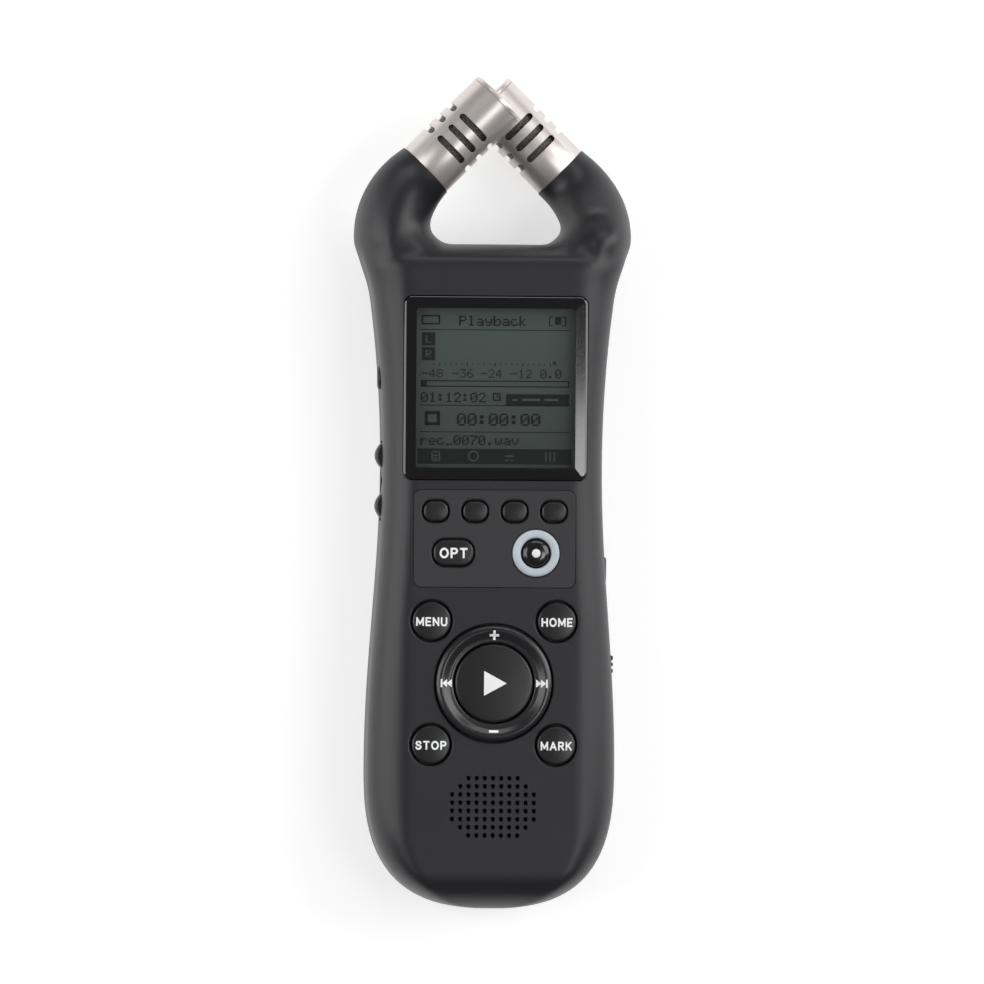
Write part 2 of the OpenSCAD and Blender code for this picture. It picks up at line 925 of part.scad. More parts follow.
// Small switches behind the side button and the slider
module side_switches() {
    color([0.7, 0.7, 0.68]) {
        box([16.4, button_y - 2, mid_z - 2], [17.9, button_y + 2, mid_z + 2]);
        box([16.4, hold_y - 5, mid_z - 2], [18.4, hold_y + 3, mid_z + 2]);
    }
}

module usb_port() {
    out = half_width(usb_y);
    color([0.72, 0.72, 0.74])
        translate([0, usb_y, usb_z])
            difference() {
                box([out - 6.2, -usb_size[0] / 2, 0], [out - 0.6, usb_size[0] / 2, usb_size[1]]);
                box([out - 5.6, 0.3 - usb_size[0] / 2, 0.3], [out, usb_size[0] / 2 - 0.3, usb_size[1] - 0.3]);
            }
}

module card_socket() {
    color([0.75, 0.75, 0.77])
        difference() {
            box([3.4, card_y - 6, 16.4], [half_width(card_y - 6) - wall - 0.2, card_y + 6, 18.2]);
            box([4.4, card_y - 5.5, 16.9], [30, card_y + 5.5, 17.7]);
        }
}

module memory_card() {
    out = half_width(card_y);
    color([0.06, 0.06, 0.07])
        box([out - 15.6, card_y - 5.4, 16.95], [out - 0.6, card_y + 5.4, 17.65]);
}

// ---------------------------------------------------------------- batteries

module battery_tray() {
    w = bay_w + bay_wall;
    color([0.16, 0.16, 0.17])
        difference() {
            box([-w, bay_y0 - bay_wall, tray_z], [w, bay_y1 + bay_wall, tray_top]);
            box([-bay_w, bay_y0, tray_z - 1], [bay_w, bay_y1, tray_top - 0.8]);
            for (p = board_screw_at)
                translate(p)
                    disc(board_screw_head_r + 0.4, board_z - 1.2, tray_top + 1);
        }
}

cell_mid_y = cell_y0 + cell_len / 2;

// The cells lie head to tail
module battery_cells() {
    color([0.75, 0.6, 0.25])
        for (s = [-1, 1])
            translate([s * cell_x, cell_mid_y, cell_z])
                mirror([0, s > 0 ? 1 : 0, 0])
                    rotate([-90, 0, 0])
                        translate([0, 0, -cell_len / 2]) {
                            disc(cell_r, 0, cell_len - 1.2);
                            disc(2.7, cell_len - 1.3, cell_len);
                        }
}

// Conical spring at each cell's flat end, drawn as stacked turns
module battery_springs() {
    color([0.8, 0.8, 0.8])
        for (s = [-1, 1])
            translate([s * cell_x, cell_mid_y, cell_z])
                mirror([0, s > 0 ? 1 : 0, 0])
                    translate([0, -cell_len / 2, 0])
                        rotate([90, 0, 0])
                            for (k = [0:3])
                                translate([0, 0, 0.3 + 0.5 * k])
                                    rotate_extrude()
                                        translate([2.2 + 0.5 * k, 0])
                                            circle(0.26, $fn = 16);
}

module battery_contacts() {
    color([0.8, 0.8, 0.8])
        for (s = [-1, 1])
            translate([s * cell_x, 0, 0]) {
                box([-5, bay_y0, cell_z - 5], [5, bay_y0 + 0.2, cell_z + 5]);
                box([-5, bay_y1 - 0.2, cell_z - 5], [5, bay_y1, cell_z + 5]);
            }
}

module battery_door() {
    w = door_w;
    color([0.13, 0.13, 0.14])
        difference() {
            union() {
                difference() {
                    box([-w, door_y0, 0], [w, hinge_y, door_t]);
                    box([-hinge_split, hinge_y - hinge_r - 0.5, -1], [hinge_split, 0, 5]);
                }
                translate([0, hinge_y, hinge_z])
                    for (s = [-1, 1])
                        x_rod(hinge_r, s > 0 ? hinge_split : -w, s > 0 ? w : -hinge_split);
                box([-w + 2, door_y0 + 0.8, door_t - eps], [w - 2, door_y0 + 1.8, 3]);
            }
            translate([0, hinge_y, hinge_z])
                x_rod(hinge_pin_r + 0.05, -w - 1, w + 1);
        }
}

// Bracket on the end of the tray that holds the hinge pin
module door_bracket() {
    w = hinge_split - 0.4;
    color([0.16, 0.16, 0.17])
        difference() {
            union() {
                translate([0, hinge_y, hinge_z])
                    x_rod(hinge_r, -w, w);
                box([-w, hinge_y - 0.9, hinge_z], [w, hinge_y + 0.9, 8]);
                box([-w, bay_y1 + bay_wall, 6], [w, hinge_y + 0.9, 8]);
            }
            translate([0, hinge_y, hinge_z])
                x_rod(hinge_pin_r, -w - 1, w + 1);
        }
}

module door_hinge_pin() {
    color([0.7, 0.7, 0.72])
        translate([0, hinge_y, hinge_z])
            x_rod(hinge_pin_r, -door_w + 0.8, door_w - 0.8);
}

// ---------------------------------------------------------------- fasteners

module tripod_insert() {
    color([0.75, 0.6, 0.32])
        translate([0, tripod_y, 0])
            difference() {
                disc(tripod_r, 0, tripod_len);
                disc(tripod_bore_r, -1, tripod_len - 1);
            }
}

module case_screws() {
    color([0.35, 0.35, 0.37])
        for (p = case_screw_at)
            translate(p)
                difference() {
                    union() {
                        disc(2.3, 1.2, 3);
                        disc(0.98, 2.9, 20);
                    }
                    for (a = [0, 90])
                        rotate([0, 0, a])
                            translate([0, 0, 1.2])
                                cube([2.6, 0.6, 1.2], center = true);
                }
}

front_cover();
rear_cover();
display_window();
lcd_panel();
lcd_frame();
keypad_inlay();
soft_key_1();
soft_key_2();
soft_key_3();
soft_key_4();
option_key();
record_ring();
record_key();
record_lamp();
menu_key();
home_key();
stop_key();
mark_key();
nav_ring();
nav_gimbal();
play_key();
key_mat();
switch_domes();
main_board();
board_components();
board_screws();
speaker();
speaker_gasket();
mic_barrel_left();
mic_barrel_right();
mic_cap_left();
mic_cap_right();
mic_mesh_left();
mic_mesh_right();
mic_capsule_left();
mic_capsule_right();
level_rocker();
rocker_pin();
rocker_bracket();
line_in_jack();
headphone_jack();
side_button();
hold_switch();
side_switches();
usb_port();
card_socket();
memory_card();
battery_tray();
battery_cells();
battery_springs();
battery_contacts();
battery_door();
door_bracket();
door_hinge_pin();
tripod_insert();
case_screws();
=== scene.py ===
from math import asin, cos, degrees, hypot, pi, radians, sin, sqrt

import bpy
import bmesh
import numpy as np
from mathutils import Matrix, Vector


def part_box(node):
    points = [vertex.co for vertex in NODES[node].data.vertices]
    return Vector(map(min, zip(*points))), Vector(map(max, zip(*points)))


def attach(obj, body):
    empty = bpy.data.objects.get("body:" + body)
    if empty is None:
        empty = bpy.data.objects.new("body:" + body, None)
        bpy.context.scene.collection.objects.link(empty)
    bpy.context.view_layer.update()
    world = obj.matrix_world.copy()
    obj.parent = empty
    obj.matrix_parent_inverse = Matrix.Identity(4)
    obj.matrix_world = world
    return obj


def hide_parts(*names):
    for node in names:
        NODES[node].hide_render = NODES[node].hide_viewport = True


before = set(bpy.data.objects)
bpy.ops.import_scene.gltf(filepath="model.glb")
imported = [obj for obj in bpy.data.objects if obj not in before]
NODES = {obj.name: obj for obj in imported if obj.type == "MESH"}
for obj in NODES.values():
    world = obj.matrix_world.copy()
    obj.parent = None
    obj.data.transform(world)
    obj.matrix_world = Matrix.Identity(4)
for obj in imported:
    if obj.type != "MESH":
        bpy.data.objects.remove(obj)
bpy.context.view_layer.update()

MM = 0.001

# ---------- sizes in millimetres


def box_mm(node):
    """Lowest and highest corner of a CAD node, in millimetres."""
    low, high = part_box(node)
    return [v / MM for v in low], [v / MM for v in high]


def heights(node):
    return [corner[2] for corner in box_mm(node)]


def middle(node):
    low, high = box_mm(node)
    return [(a + b) / 2 for a, b in zip(low, high)]


FRONT_LOW, FRONT_HIGH = box_mm("front_cover")
BODY_T = FRONT_HIGH[2]
MID_Z = BODY_T / 2
WALL = 1.8
END_Y = FRONT_LOW[1]
HIP_Y, WAIST_Y, FLARE_Y, SHOULDER_Y, CROTCH_Y = -52.0, 5.0, 36.5, 49.8, 47.0
HIP_W, WAIST_W, SHOULDER_W = 23.55, 20.8, 26.0
FLARE_GAIN, FLARE_SLOPE, END_POWER = 2.1, 0.57, 2.7
FLAT_W, EDGE_H, END_RUN, CROTCH_RUN, TIP_HALF_W = 16.0, 8.0, 7.0, 4.0, 3.2
ARC_X, ARC_Y, ARC_R, ARC_BULGE, ARC_END_R = 0.65, 47.1, 20.1, 0.5, 19.6
BARREL_R, BARREL_LEN, BARREL_GAP = 5.7, 19.8, 11.8
HORN_W, HORN_H, HORN_TIP_R, HORN_LEAN = 6.85, 11.9, BARREL_R + 0.15, 0.65
SLOT_W, SLOT_HALF, SLOT_PITCH, SLOT_FIRST = 1.3, 2.8, 2.95, BARREL_LEN - 13.85
WINDOW_TURN = {-1: 6, 1: -3}
NAV_Y = middle("play_key")[1]
SPEAKER_Y = middle("speaker")[1]
GRILLE_ROWS = (7, 9, 11, 11, 11, 11, 9, 7)
GRILLE_PITCH, GRILLE_R = 1.55, 0.4
RIM, SEAM = 0.4, 0.06
INSIDE_Z, ABOVE_Z = 20, 30
FLANGE_Z, FLANGE_TOP, FLANGE_LIP = 22.5, 23.4, 0.45
ROCKER_Y, ROCKER_HALF, ROCKER_T, ROCKER_PIN_X = 2.0, 7.2, 4.6, -17.2
JACK_BORE_R, JACK_COLLAR_R = 1.78, 2.25
HINGE_Y, HINGE_Z, HINGE_R, CELL_X = -7.0, 1.6, 1.6, 7.6


def mix(a, b, u):
    return a + (b - a) * u


def smooth(u):
    u = min(1.0, max(0.0, u))
    return u * u * (3 - 2 * u)


def half_width(y, inset=0.0):
    """Half width of the casing at y; inset moves the wall inwards."""
    if y < HIP_Y:
        u = (HIP_Y - y) / (HIP_Y - END_Y - inset)
        return max(TIP_HALF_W, (HIP_W - inset) * max(0.0, 1 - u**END_POWER) ** (1 / END_POWER))
    if y < WAIST_Y:
        u = (WAIST_Y - y) / (WAIST_Y - HIP_Y)
        return mix(WAIST_W, HIP_W, (1 - cos(pi * u)) / 2) - inset
    if y < FLARE_Y:
        return WAIST_W + FLARE_GAIN * ((y - WAIST_Y) / (FLARE_Y - WAIST_Y)) ** 2 - inset
    u = (y - FLARE_Y) / (SHOULDER_Y - FLARE_Y)
    curve = FLARE_SLOPE * (u**3 - 2 * u * u + u) + u * u * (3 - 2 * u)
    return mix(WAIST_W + FLARE_GAIN, SHOULDER_W, curve) - inset


def edge_rise(d, run):
    return 1.0 if d >= run else sqrt(max(0.0, 1 - (1 - d / run) ** 2))


def half_height(y, inset=0.0):
    low = edge_rise(y - END_Y - inset, END_RUN)
    high = edge_rise(CROTCH_Y - inset - y, CROTCH_RUN)
    return MID_Z - EDGE_H + (EDGE_H - inset) * min(low, high)


def corner_points(x, y, rx, ry, steps):
    """Points round four elliptical corners, whose centres lie at x and y either side of the origin."""
    points = []
    for turn, (sx, sy) in enumerate(((1, 1), (-1, 1), (-1, -1), (1, -1))):
        for k in range(steps + 1):
            a = pi / 2 * (turn + k / steps)
            points.append((sx * x + rx * cos(a), sy * y + ry * sin(a)))
    return points


def soft_rect(w, h, r, steps=8):
    """Points of a rectangle with round corners, centred on the origin."""
    return corner_points(w / 2 - r, h / 2 - r, r, r, steps)


def section_points(w, h, corner_h, steps):
    flat, rise = min(FLAT_W, w * 0.72), min(corner_h, h)
    return corner_points(flat, h - rise, w - flat, rise, steps)


def casing_rings(inset, steps, count):
    """Rings of the hourglass body from its foot to the crotch of the guard."""
    low, high = END_Y + inset, CROTCH_Y - inset
    ends = [low + (HIP_Y - low) * (1 - cos(pi / 2 * k / count)) for k in range(count)]
    middles = [mix(HIP_Y, high - CROTCH_RUN, k / (2 * count)) for k in range(2 * count)]
    tops = [high - CROTCH_RUN * cos(pi / 2 * k / count) for k in range(count + 1)]
    return [
        [
            (x, y, MID_Z + z)
            for x, z in section_points(half_width(y, inset), half_height(y, inset), EDGE_H - inset, steps)
        ]
        for y in ends + middles + tops
    ]


def horn_section(u, side):
    a = pi / 4 * u
    lean = -side * HORN_LEAN / 2
    r = mix(ARC_R - lean, ARC_END_R, smooth(u)) + ARC_BULGE * sin(pi * u)
    return (
        (ARC_X - r * cos(a), ARC_Y + r * sin(a), MID_Z - side * BARREL_GAP / 2 * smooth(u)),
        pi / 2 - a,
        mix(HORN_W + lean, HORN_TIP_R, u * u),
        mix(HORN_H, HORN_TIP_R, smooth(1.15 * u)),
    )


def horn_rings(side, inset, sides, steps, past):
    """Rings of one horn of the guard, past its mouth by the given length."""
    sections = [((-15.4, 34, MID_Z), pi / 2, 6.2, 12.4), ((-17.6, 41, MID_Z), pi / 2, 6.7, 12.3)]
    sections += [horn_section(k / steps, side) for k in range(steps + 1)]
    (x, y, z), heading, w, h = sections[-1]
    sections.append(((x + past * cos(heading), y + past * sin(heading), z), heading, w, h))
    rings = []
    for (cx, cy, cz), heading, w, h in sections:
        ring = []
        for k in range(sides):
            t = 2 * pi * (k + 0.5) / sides
            x = (w - inset) * cos(t)
            px, py = cx + x * sin(heading), cy - x * cos(heading)
            ring.append((-px if side > 0 else px, py, cz + (h - inset) * sin(t)))
        rings.append(ring[::-1] if side > 0 else ring)
    return rings


# ---------- mesh helpers


def linked(name, data):
    """A new object in the scene."""
    obj = bpy.data.objects.new(name, data)
    bpy.context.scene.collection.objects.link(obj)
    return obj


def from_bmesh(name, bm):
    data = bpy.data.meshes.new(name)
    bm.to_mesh(data)
    bm.free()
    return linked(name, data)


def mesh_object(name, verts, faces):
    """A mesh object from millimetre points, with its faces turned outwards."""
    data = bpy.data.meshes.new(name)
    data.from_pydata([tuple(c * MM for c in v) for v in verts], [], faces)
    bm = bmesh.new()
    bm.from_mesh(data)
    bmesh.ops.recalc_face_normals(bm, faces=bm.faces)
    bm.to_mesh(data)
    bm.free()
    return linked(name, data)


def loft(name, rings, closed=False):
    """Skins rings of points; closed joins the last ring to the first and leaves out the caps."""
    n = len(rings[0])
    verts = [p for ring in rings for p in ring]
    pairs = [(i, i + 1) for i in range(len(rings) - 1)] + ([(len(rings) - 1, 0)] if closed else [])
    faces = [
        (i * n + k, i * n + (k + 1) % n, j * n + (k + 1) % n, j * n + k) for i, j in pairs for k in range(n)
    ]
    if not closed:
        faces += [tuple(range(n)), tuple(range(len(verts) - n, len(verts)))]
    return mesh_object(name, verts, faces)


def circle(r, steps=64):
    turns = [2 * pi * k / steps for k in range(steps)]
    return [(r * cos(a), r * sin(a)) for a in turns]


def stack(name, outlines, at=(0, 0), closed=False):
    """A solid through outlines at given heights: [(outline, z), ...]."""
    return loft(name, [[(at[0] + x, at[1] + y, z) for x, y in outline] for outline, z in outlines], closed)


def slab(name, outline, z0, z1, at=(0, 0)):
    """An outline raised from one height to another."""
    return stack(name, [(outline, z0), (outline, z1)], at)


def along_x(name, outline, x0, x1, y=0.0, z=0.0):
    """An outline in the YZ plane, pulled from one X to another."""
    return loft(name, [[(x, y + a, z + b) for a, b in outline] for x in (x0, x1)])


def quarter(count):
    """Cosines and sines over a quarter turn, for rounded edges."""
    angles = [pi / 2 * k / count for k in range(1, count + 1)]
    return [(cos(a), sin(a)) for a in angles]


def lathe(name, profile, at=(0, 0), steps=96):
    """Turns (radius, height) points about a vertical axis; a profile that starts off the axis is closed."""
    outlines = [(circle(max(r, 1e-4), steps), z) for r, z in profile]
    return stack(name, outlines, at, profile[0][0] > 0)


def evaluated(obj):
    """Replaces an object's mesh with what its modifiers make of it."""
    graph = bpy.context.evaluated_depsgraph_get()
    data = bpy.data.meshes.new_from_object(obj.evaluated_get(graph))
    obj.modifiers.clear()
    old = obj.data
    obj.data = data
    bpy.data.meshes.remove(old)
    return obj


def combine(obj, others, operation):
    """Boolean of obj with each of the others, which are then removed."""
    for other in others:
        modifier = obj.modifiers.new("cut", "BOOLEAN")
        modifier.operation = operation
        modifier.solver = "MANIFOLD"
        modifier.object = other
        evaluated(obj)
        bpy.data.objects.remove(other)


def cut(obj, *others):
    combine(obj, others, "DIFFERENCE")


def fuse(obj, *others):
    combine(obj, others, "UNION")


def joined(name, objects):
    """One mesh object from several."""
    bm = bmesh.new()
    for obj in objects:
        bm.from_mesh(obj.data)
    for obj in objects:
        bpy.data.objects.remove(obj)
    return from_bmesh(name, bm)


def placed(obj, matrix):
    """Moves an object's mesh, given a matrix in millimetres."""
    scaled = matrix.copy()
    scaled.translation = matrix.translation * MM
    obj.data.transform(scaled)
    if matrix.determinant() < 0:
        obj.data.flip_normals()
    return obj


def rounded(obj, width, segments=3, angle=35):
    """Rounds an object's sharp edges by a width in millimetres."""
    modifier = obj.modifiers.new("round", "BEVEL")
    modifier.width = width * MM
    modifier.segments = segments
    modifier.limit_method = "ANGLE"
    modifier.angle_limit = radians(angle)
    return evaluated(obj)


def finished(obj, material, body, stands_for=(), angle=35):
    """Shades a piece, gives it its material and fixes it to its body."""
    obj.data.materials.clear()
    obj.data.materials.append(M[material])
    obj.data.set_sharp_from_angle(angle=radians(angle))
    bends = [abs(p.normal.z) < 0.9999 or p.area < 1e-6 for p in obj.data.polygons]
    obj.data.polygons.foreach_set("use_smooth", bends)
    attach(obj, body)
    if stands_for:
        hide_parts(*stands_for)


# ---------- materials


def tree_of(name):
    material = bpy.data.materials.new(name)
    material.use_nodes = True
    nodes, links = material.node_tree.nodes, material.node_tree.links
    return material, nodes, links, nodes["Principled BSDF"]


def grain(nodes, links, scale, detail=3.0, stretch=(1, 1, 1)):
    """Noise in object space; scale is in cells per millimetre."""
    place = nodes.new("ShaderNodeTexCoord")
    mapping = nodes.new("ShaderNodeMapping")
    mapping.inputs["Scale"].default_value = [scale * s / MM for s in stretch]
    noise = nodes.new("ShaderNodeTexNoise")
    noise.inputs["Scale"].default_value = 1.0
    noise.inputs["Detail"].default_value = detail
    links.new(place.outputs["Object"], mapping.inputs["Vector"])
    links.new(mapping.outputs["Vector"], noise.inputs["Vector"])
    return noise.outputs["Fac"]


def ramp(nodes, links, value, low, high, start=0.35, stop=0.65):
    node = nodes.new("ShaderNodeValToRGB")
    node.color_ramp.elements[0].position = start
    node.color_ramp.elements[1].position = stop
    node.color_ramp.elements[0].color = (*low, 1)
    node.color_ramp.elements[1].color = (*high, 1)
    links.new(value, node.inputs["Fac"])
    return node.outputs["Color"]


def spread(nodes, links, value, low, high):
    node = nodes.new("ShaderNodeMapRange")
    node.inputs["To Min"].default_value = low
    node.inputs["To Max"].default_value = high
    links.new(value, node.inputs["Value"])
    return node.outputs["Result"]


def bump(nodes, links, shader, value, height, strength=1.0):
    node = nodes.new("ShaderNodeBump")
    node.inputs["Distance"].default_value = height * MM
    node.inputs["Strength"].default_value = strength
    links.new(value, node.inputs["Height"])
    links.new(node.outputs["Normal"], shader.inputs["Normal"])


def moulded(name, colour, rough=0.5, scale=4.0, height=0.012, vary=0.12, specular=0.5, coat=0.0):
    """Moulded plastic: a fine spark-eroded grain, slightly uneven gloss and colour."""
    material, nodes, links, shader = tree_of(name)
    fine = grain(nodes, links, scale)
    broad = grain(nodes, links, 0.12, 2.0)
    dark = tuple(c * (1 - vary) for c in colour)
    light = tuple(c * (1 + vary) for c in colour)
    links.new(ramp(nodes, links, broad, dark, light), shader.inputs["Base Color"])
    links.new(spread(nodes, links, fine, rough - 0.05, rough + 0.06), shader.inputs["Roughness"])
    shader.inputs["Specular IOR Level"].default_value = specular
    shader.inputs["Coat Weight"].default_value = coat
    shader.inputs["Coat Roughness"].default_value = 0.12
    bump(nodes, links, shader, fine, height)
    return material


def metal(name, colour, rough=0.3, stretch=(1, 1, 1), scale=3.0, height=0.004, vary=0.06, metallic=1.0):
    """Metal with a satin or turned finish; stretch makes the scratches run along an axis."""
    material, nodes, links, shader = tree_of(name)
    fine = grain(nodes, links, scale, 4.0, stretch)
    dark = tuple(c * (1 - vary) for c in colour)
    links.new(ramp(nodes, links, fine, dark, colour), shader.inputs["Base Color"])
    links.new(spread(nodes, links, fine, rough - 0.06, rough + 0.08), shader.inputs["Roughness"])
    shader.inputs["Metallic"].default_value = metallic
    bump(nodes, links, shader, fine, height)
    return material


def woven_mesh(name):
    """Dark woven wire behind the sound slots."""
    material, nodes, links, shader = tree_of(name)
    place = nodes.new("ShaderNodeTexCoord")
    cells = nodes.new("ShaderNodeTexVoronoi")
    cells.inputs["Scale"].default_value = 3.2 / MM
    links.new(place.outputs["Object"], cells.inputs["Vector"])
    links.new(
        ramp(nodes, links, cells.outputs["Distance"], (0.012, 0.011, 0.01), (0.11, 0.1, 0.09), 0.1, 0.6),
        shader.inputs["Base Color"],
    )
    shader.inputs["Metallic"].default_value = 0.7
    shader.inputs["Roughness"].default_value = 0.5
    bump(nodes, links, shader, cells.outputs["Distance"], 0.05)
    return material


def clear_pane(name):
    material, nodes, links, shader = tree_of(name)
    smudge = grain(nodes, links, 0.15, 4.0)
    shader.inputs["Base Color"].default_value = (0.004, 0.005, 0.005, 1)
    shader.inputs["Alpha"].default_value = 0.22
    shader.inputs["IOR"].default_value = 2.4
    links.new(spread(nodes, links, smudge, 0.015, 0.05), shader.inputs["Roughness"])
    material.surface_render_method = "BLENDED"
    return material


def lcd_with_painted_light(name, low, high):
    """Liquid-crystal glass: fine grain, and painted light that makes the colour lighter along +Y, towards the
    top of the screen.
    """
    material, nodes, links, shader = tree_of(name)
    fine = grain(nodes, links, 1.2, 2.0)
    place = nodes.new("ShaderNodeTexCoord")
    split = nodes.new("ShaderNodeSeparateXYZ")
    links.new(place.outputs["Object"], split.inputs["Vector"])
    # Painted light: the colour ramps from dark at Y 5 mm to light at Y 34 mm, the top of the screen.
    along = nodes.new("ShaderNodeMapRange")
    along.inputs["From Min"].default_value = 5 * MM
    along.inputs["From Max"].default_value = 34 * MM
    links.new(split.outputs["Y"], along.inputs["Value"])
    blend = nodes.new("ShaderNodeMath")
    blend.operation = "MULTIPLY_ADD"
    blend.inputs[1].default_value = 0.15
    links.new(fine, blend.inputs[0])
    links.new(along.outputs["Result"], blend.inputs[2])
    links.new(ramp(nodes, links, blend.outputs["Value"], low, high, 0.05, 1.1), shader.inputs["Base Color"])
    shader.inputs["Roughness"].default_value = 0.45
    return material


# Colour, roughness, and where they differ the scale, height and unevenness of the grain
PLASTICS = {
    "casing": ((0.0118, 0.0115, 0.0148), 0.41, 5.0, 0.01, 0.06, 0.5),
    "inlay": ((0.026, 0.026, 0.029), 0.44, 6.0, 0.006, 0.03),
    "key": ((0.011, 0.011, 0.012), 0.33, 7.0, 0.004, 0.08),
    "ring": ((0.012, 0.012, 0.014), 0.27, 7.0, 0.003, 0.05, 0.65),
    "record": ((0.008, 0.008, 0.009), 0.16, 7.0, 0.002, 0.05, 0.6, 0.3),
    "side": ((0.014, 0.014, 0.015), 0.4, 6.0, 0.006),
    "border": ((0.004, 0.004, 0.005), 0.08, 2.0, 0.0005, 0.05, 0.6, 0.6),
    "legend": ((0.94, 0.95, 0.96), 0.5, 6.0, 0.003, 0.02),
    "light_guide": ((0.52, 0.58, 0.63), 0.35, 4.0, 0.004, 0.06),
    "lamp": ((0.9, 0.9, 0.9), 0.2, 6.0, 0.002, 0.02),
    "inner": ((0.03, 0.03, 0.032), 0.5, 3.0, 0.02),
    "rubber": ((0.02, 0.02, 0.02), 0.75, 5.0, 0.02),
    "board": ((0.012, 0.09, 0.035), 0.35, 2.0, 0.01),
    "chip": ((0.012, 0.012, 0.013), 0.45, 6.0, 0.01),
    "speaker": ((0.02, 0.02, 0.02), 0.8, 2.0, 0.03),
}
METALS = {
    "nickel": ((0.72, 0.665, 0.635), 0.36, (1, 1, 1), 4.0, 0.003, 0.05, 0.76),
    "steel": ((0.6, 0.6, 0.62), 0.28, (1, 4, 1), 3.0),
    "brass": ((0.72, 0.5, 0.2), 0.25, (1, 1, 6), 3.0),
    "screw": ((0.06, 0.06, 0.065), 0.35),
    "capsule": ((0.35, 0.35, 0.36), 0.3),
    "cell": ((0.42, 0.2, 0.03), 0.25, (1, 1, 1), 2.0),
    "cell_end": ((0.7, 0.7, 0.72), 0.2),
}
M = {name: moulded(name, *values) for name, values in PLASTICS.items()}
M.update({name: metal(name, *values) for name, values in METALS.items()})
M.update({
    "mesh": woven_mesh("woven_mesh"),
    "pane": clear_pane("window_pane"),
    # The screen's glass, light marks and ink carry painted light, lighter towards the top of the screen.
    "lcd": lcd_with_painted_light("lcd_glass", (0.09, 0.116, 0.108), (0.152, 0.2, 0.187)),
    "ink": lcd_with_painted_light("lcd_ink", (0.003, 0.004, 0.004), (0.008, 0.01, 0.01)),
})

# ---------- casing


def fillet(side):
    """Rounds the guard's inner corner: the edge profile turns from the body's into the horn's."""
    r, cx, cy, deep = 4.2, side * 8.5 + HORN_LEAN, 51.2, HORN_W - 0.05
    rings = []
    for k in range(23):
        a = radians(-98 + 5 * k)
        share = min(1.0, max(0.0, degrees(a) / 90 + 1))
        up = max(0.0, cy + r * sin(a) - ARC_Y)
        (_, _, middle_z), _, _, high = horn_section(asin(up / ARC_R) / (pi / 4), side)
        top = []
        for j in range(13):
            d = deep * (j / 12) ** 1.6
            body = MID_Z - EDGE_H + EDGE_H * edge_rise(d, CROTCH_RUN)
            tube = (high - 0.3) * sqrt(max(0.0, 1 - (1 - d / HORN_W) ** 2))
            top.append((d, mix(body, tube, share)))
        profile = top + [(d, -h) for d, h in reversed(top)]
        z = mix(MID_Z, middle_z, share)
        x, y = side * cos(a), sin(a)
        rings.append([(cx + (r + d) * x, cy + (r + d) * y, z + h) for d, h in profile])
    return loft("fillet", rings)


def outer_casing():
    """The whole outer form, blended into one skin."""
    parts = [loft("body", casing_rings(0, 10, 26))]
    for side in (-1, 1):
        parts.append(loft("horn", horn_rings(side, 0, 64, 24, 4.0)))
        parts.append(fillet(side))
    form = joined("casing_form", parts)
    remesh = form.modifiers.new("skin", "REMESH")
    remesh.mode = "VOXEL"
    remesh.voxel_size = 0.45 * MM
    evaluated(form)
    blended(form, 260)
    return form


def blended(obj, rounds):
    """Rounds the creases about the guard; each second step restores what the first one shrinks."""
    count = len(obj.data.vertices)
    points = np.empty(count * 3)
    obj.data.vertices.foreach_get("co", points)
    points = points.reshape(count, 3)
    edges = np.empty(len(obj.data.edges) * 2, dtype=np.int32)
    obj.data.edges.foreach_get("vertices", edges)
    one, two = edges.reshape(-1, 2).T
    one, two = np.concatenate([one, two]), np.concatenate([two, one])
    degree = np.bincount(one, minlength=count)[:, None]
    u = np.clip((points[:, 1] / MM - 28) / 11, 0, 1)
    weight = (0.06 + 0.94 * u * u * (3 - 2 * u))[:, None]
    for _ in range(rounds):
        for step in (0.6, -0.612):
            sums = [np.bincount(one, points[two, k], minlength=count) for k in range(3)]
            points = points + step * weight * (np.stack(sums, axis=1) / degree - points)
    obj.data.vertices.foreach_set("co", points.ravel())
    obj.data.update()


def horn_mouth(side):
    """A block past the end of a horn, which cuts the horn square for its barrel."""
    return placed(slab("mouth", soft_rect(16, 16, 1, 2), 0, 9), barrel_frame(side))


def barrel_frame(side):
    """Matrix from a barrel drawn along +Z to its place on the guard."""
    x, y = ARC_X - ARC_END_R * cos(pi / 4), ARC_Y + ARC_END_R * sin(pi / 4)
    frame_matrix = (
        Matrix.Translation((x, y, MID_Z - side * BARREL_GAP / 2))
        @ Matrix.Rotation(pi / 4, 4, "Z")
        @ Matrix.Rotation(pi / 2, 4, "Y")
    )
    return Matrix.Scale(-1, 4, (1, 0, 0)) @ frame_matrix if side > 0 else frame_matrix


def parting_block(shift):
    """Everything behind the parting line, which follows the centres of the horns."""
    blocks = []
    for side in (-1, 1):
        z_end = MID_Z - side * BARREL_GAP / 2
        y_end = ARC_Y + ARC_END_R * sin(pi / 4)
        line = [(END_Y - 9, MID_Z), (ARC_Y + 0.4, MID_Z), (y_end - 2, z_end), (y_end + 9, z_end)]
        outline = [(y, z + shift) for y, z in line] + [(y_end + 9, -2), (END_Y - 9, -2)]
        blocks.append(along_x("parting", outline, min(0, 40 * side), max(0, 40 * side)))
    return blocks


def well(x, y, r):
    """Cutter for a round key: a bore with a soft rim."""
    rim = [(r, BODY_T - RIM), (r + 0.05, BODY_T - 0.22), (r + 0.17, BODY_T - 0.07), (r + RIM, BODY_T)]
    profile = [(0, INSIDE_Z), (r, INSIDE_Z)] + rim + [(r + RIM, ABOVE_Z), (0, ABOVE_Z)]
    return lathe("well", profile, (x, y), 72)


def hole(outline, at, z0=INSIDE_Z, z1=ABOVE_Z):
    """Cutter through the front face."""
    return slab("hole", outline, z0, z1, at)


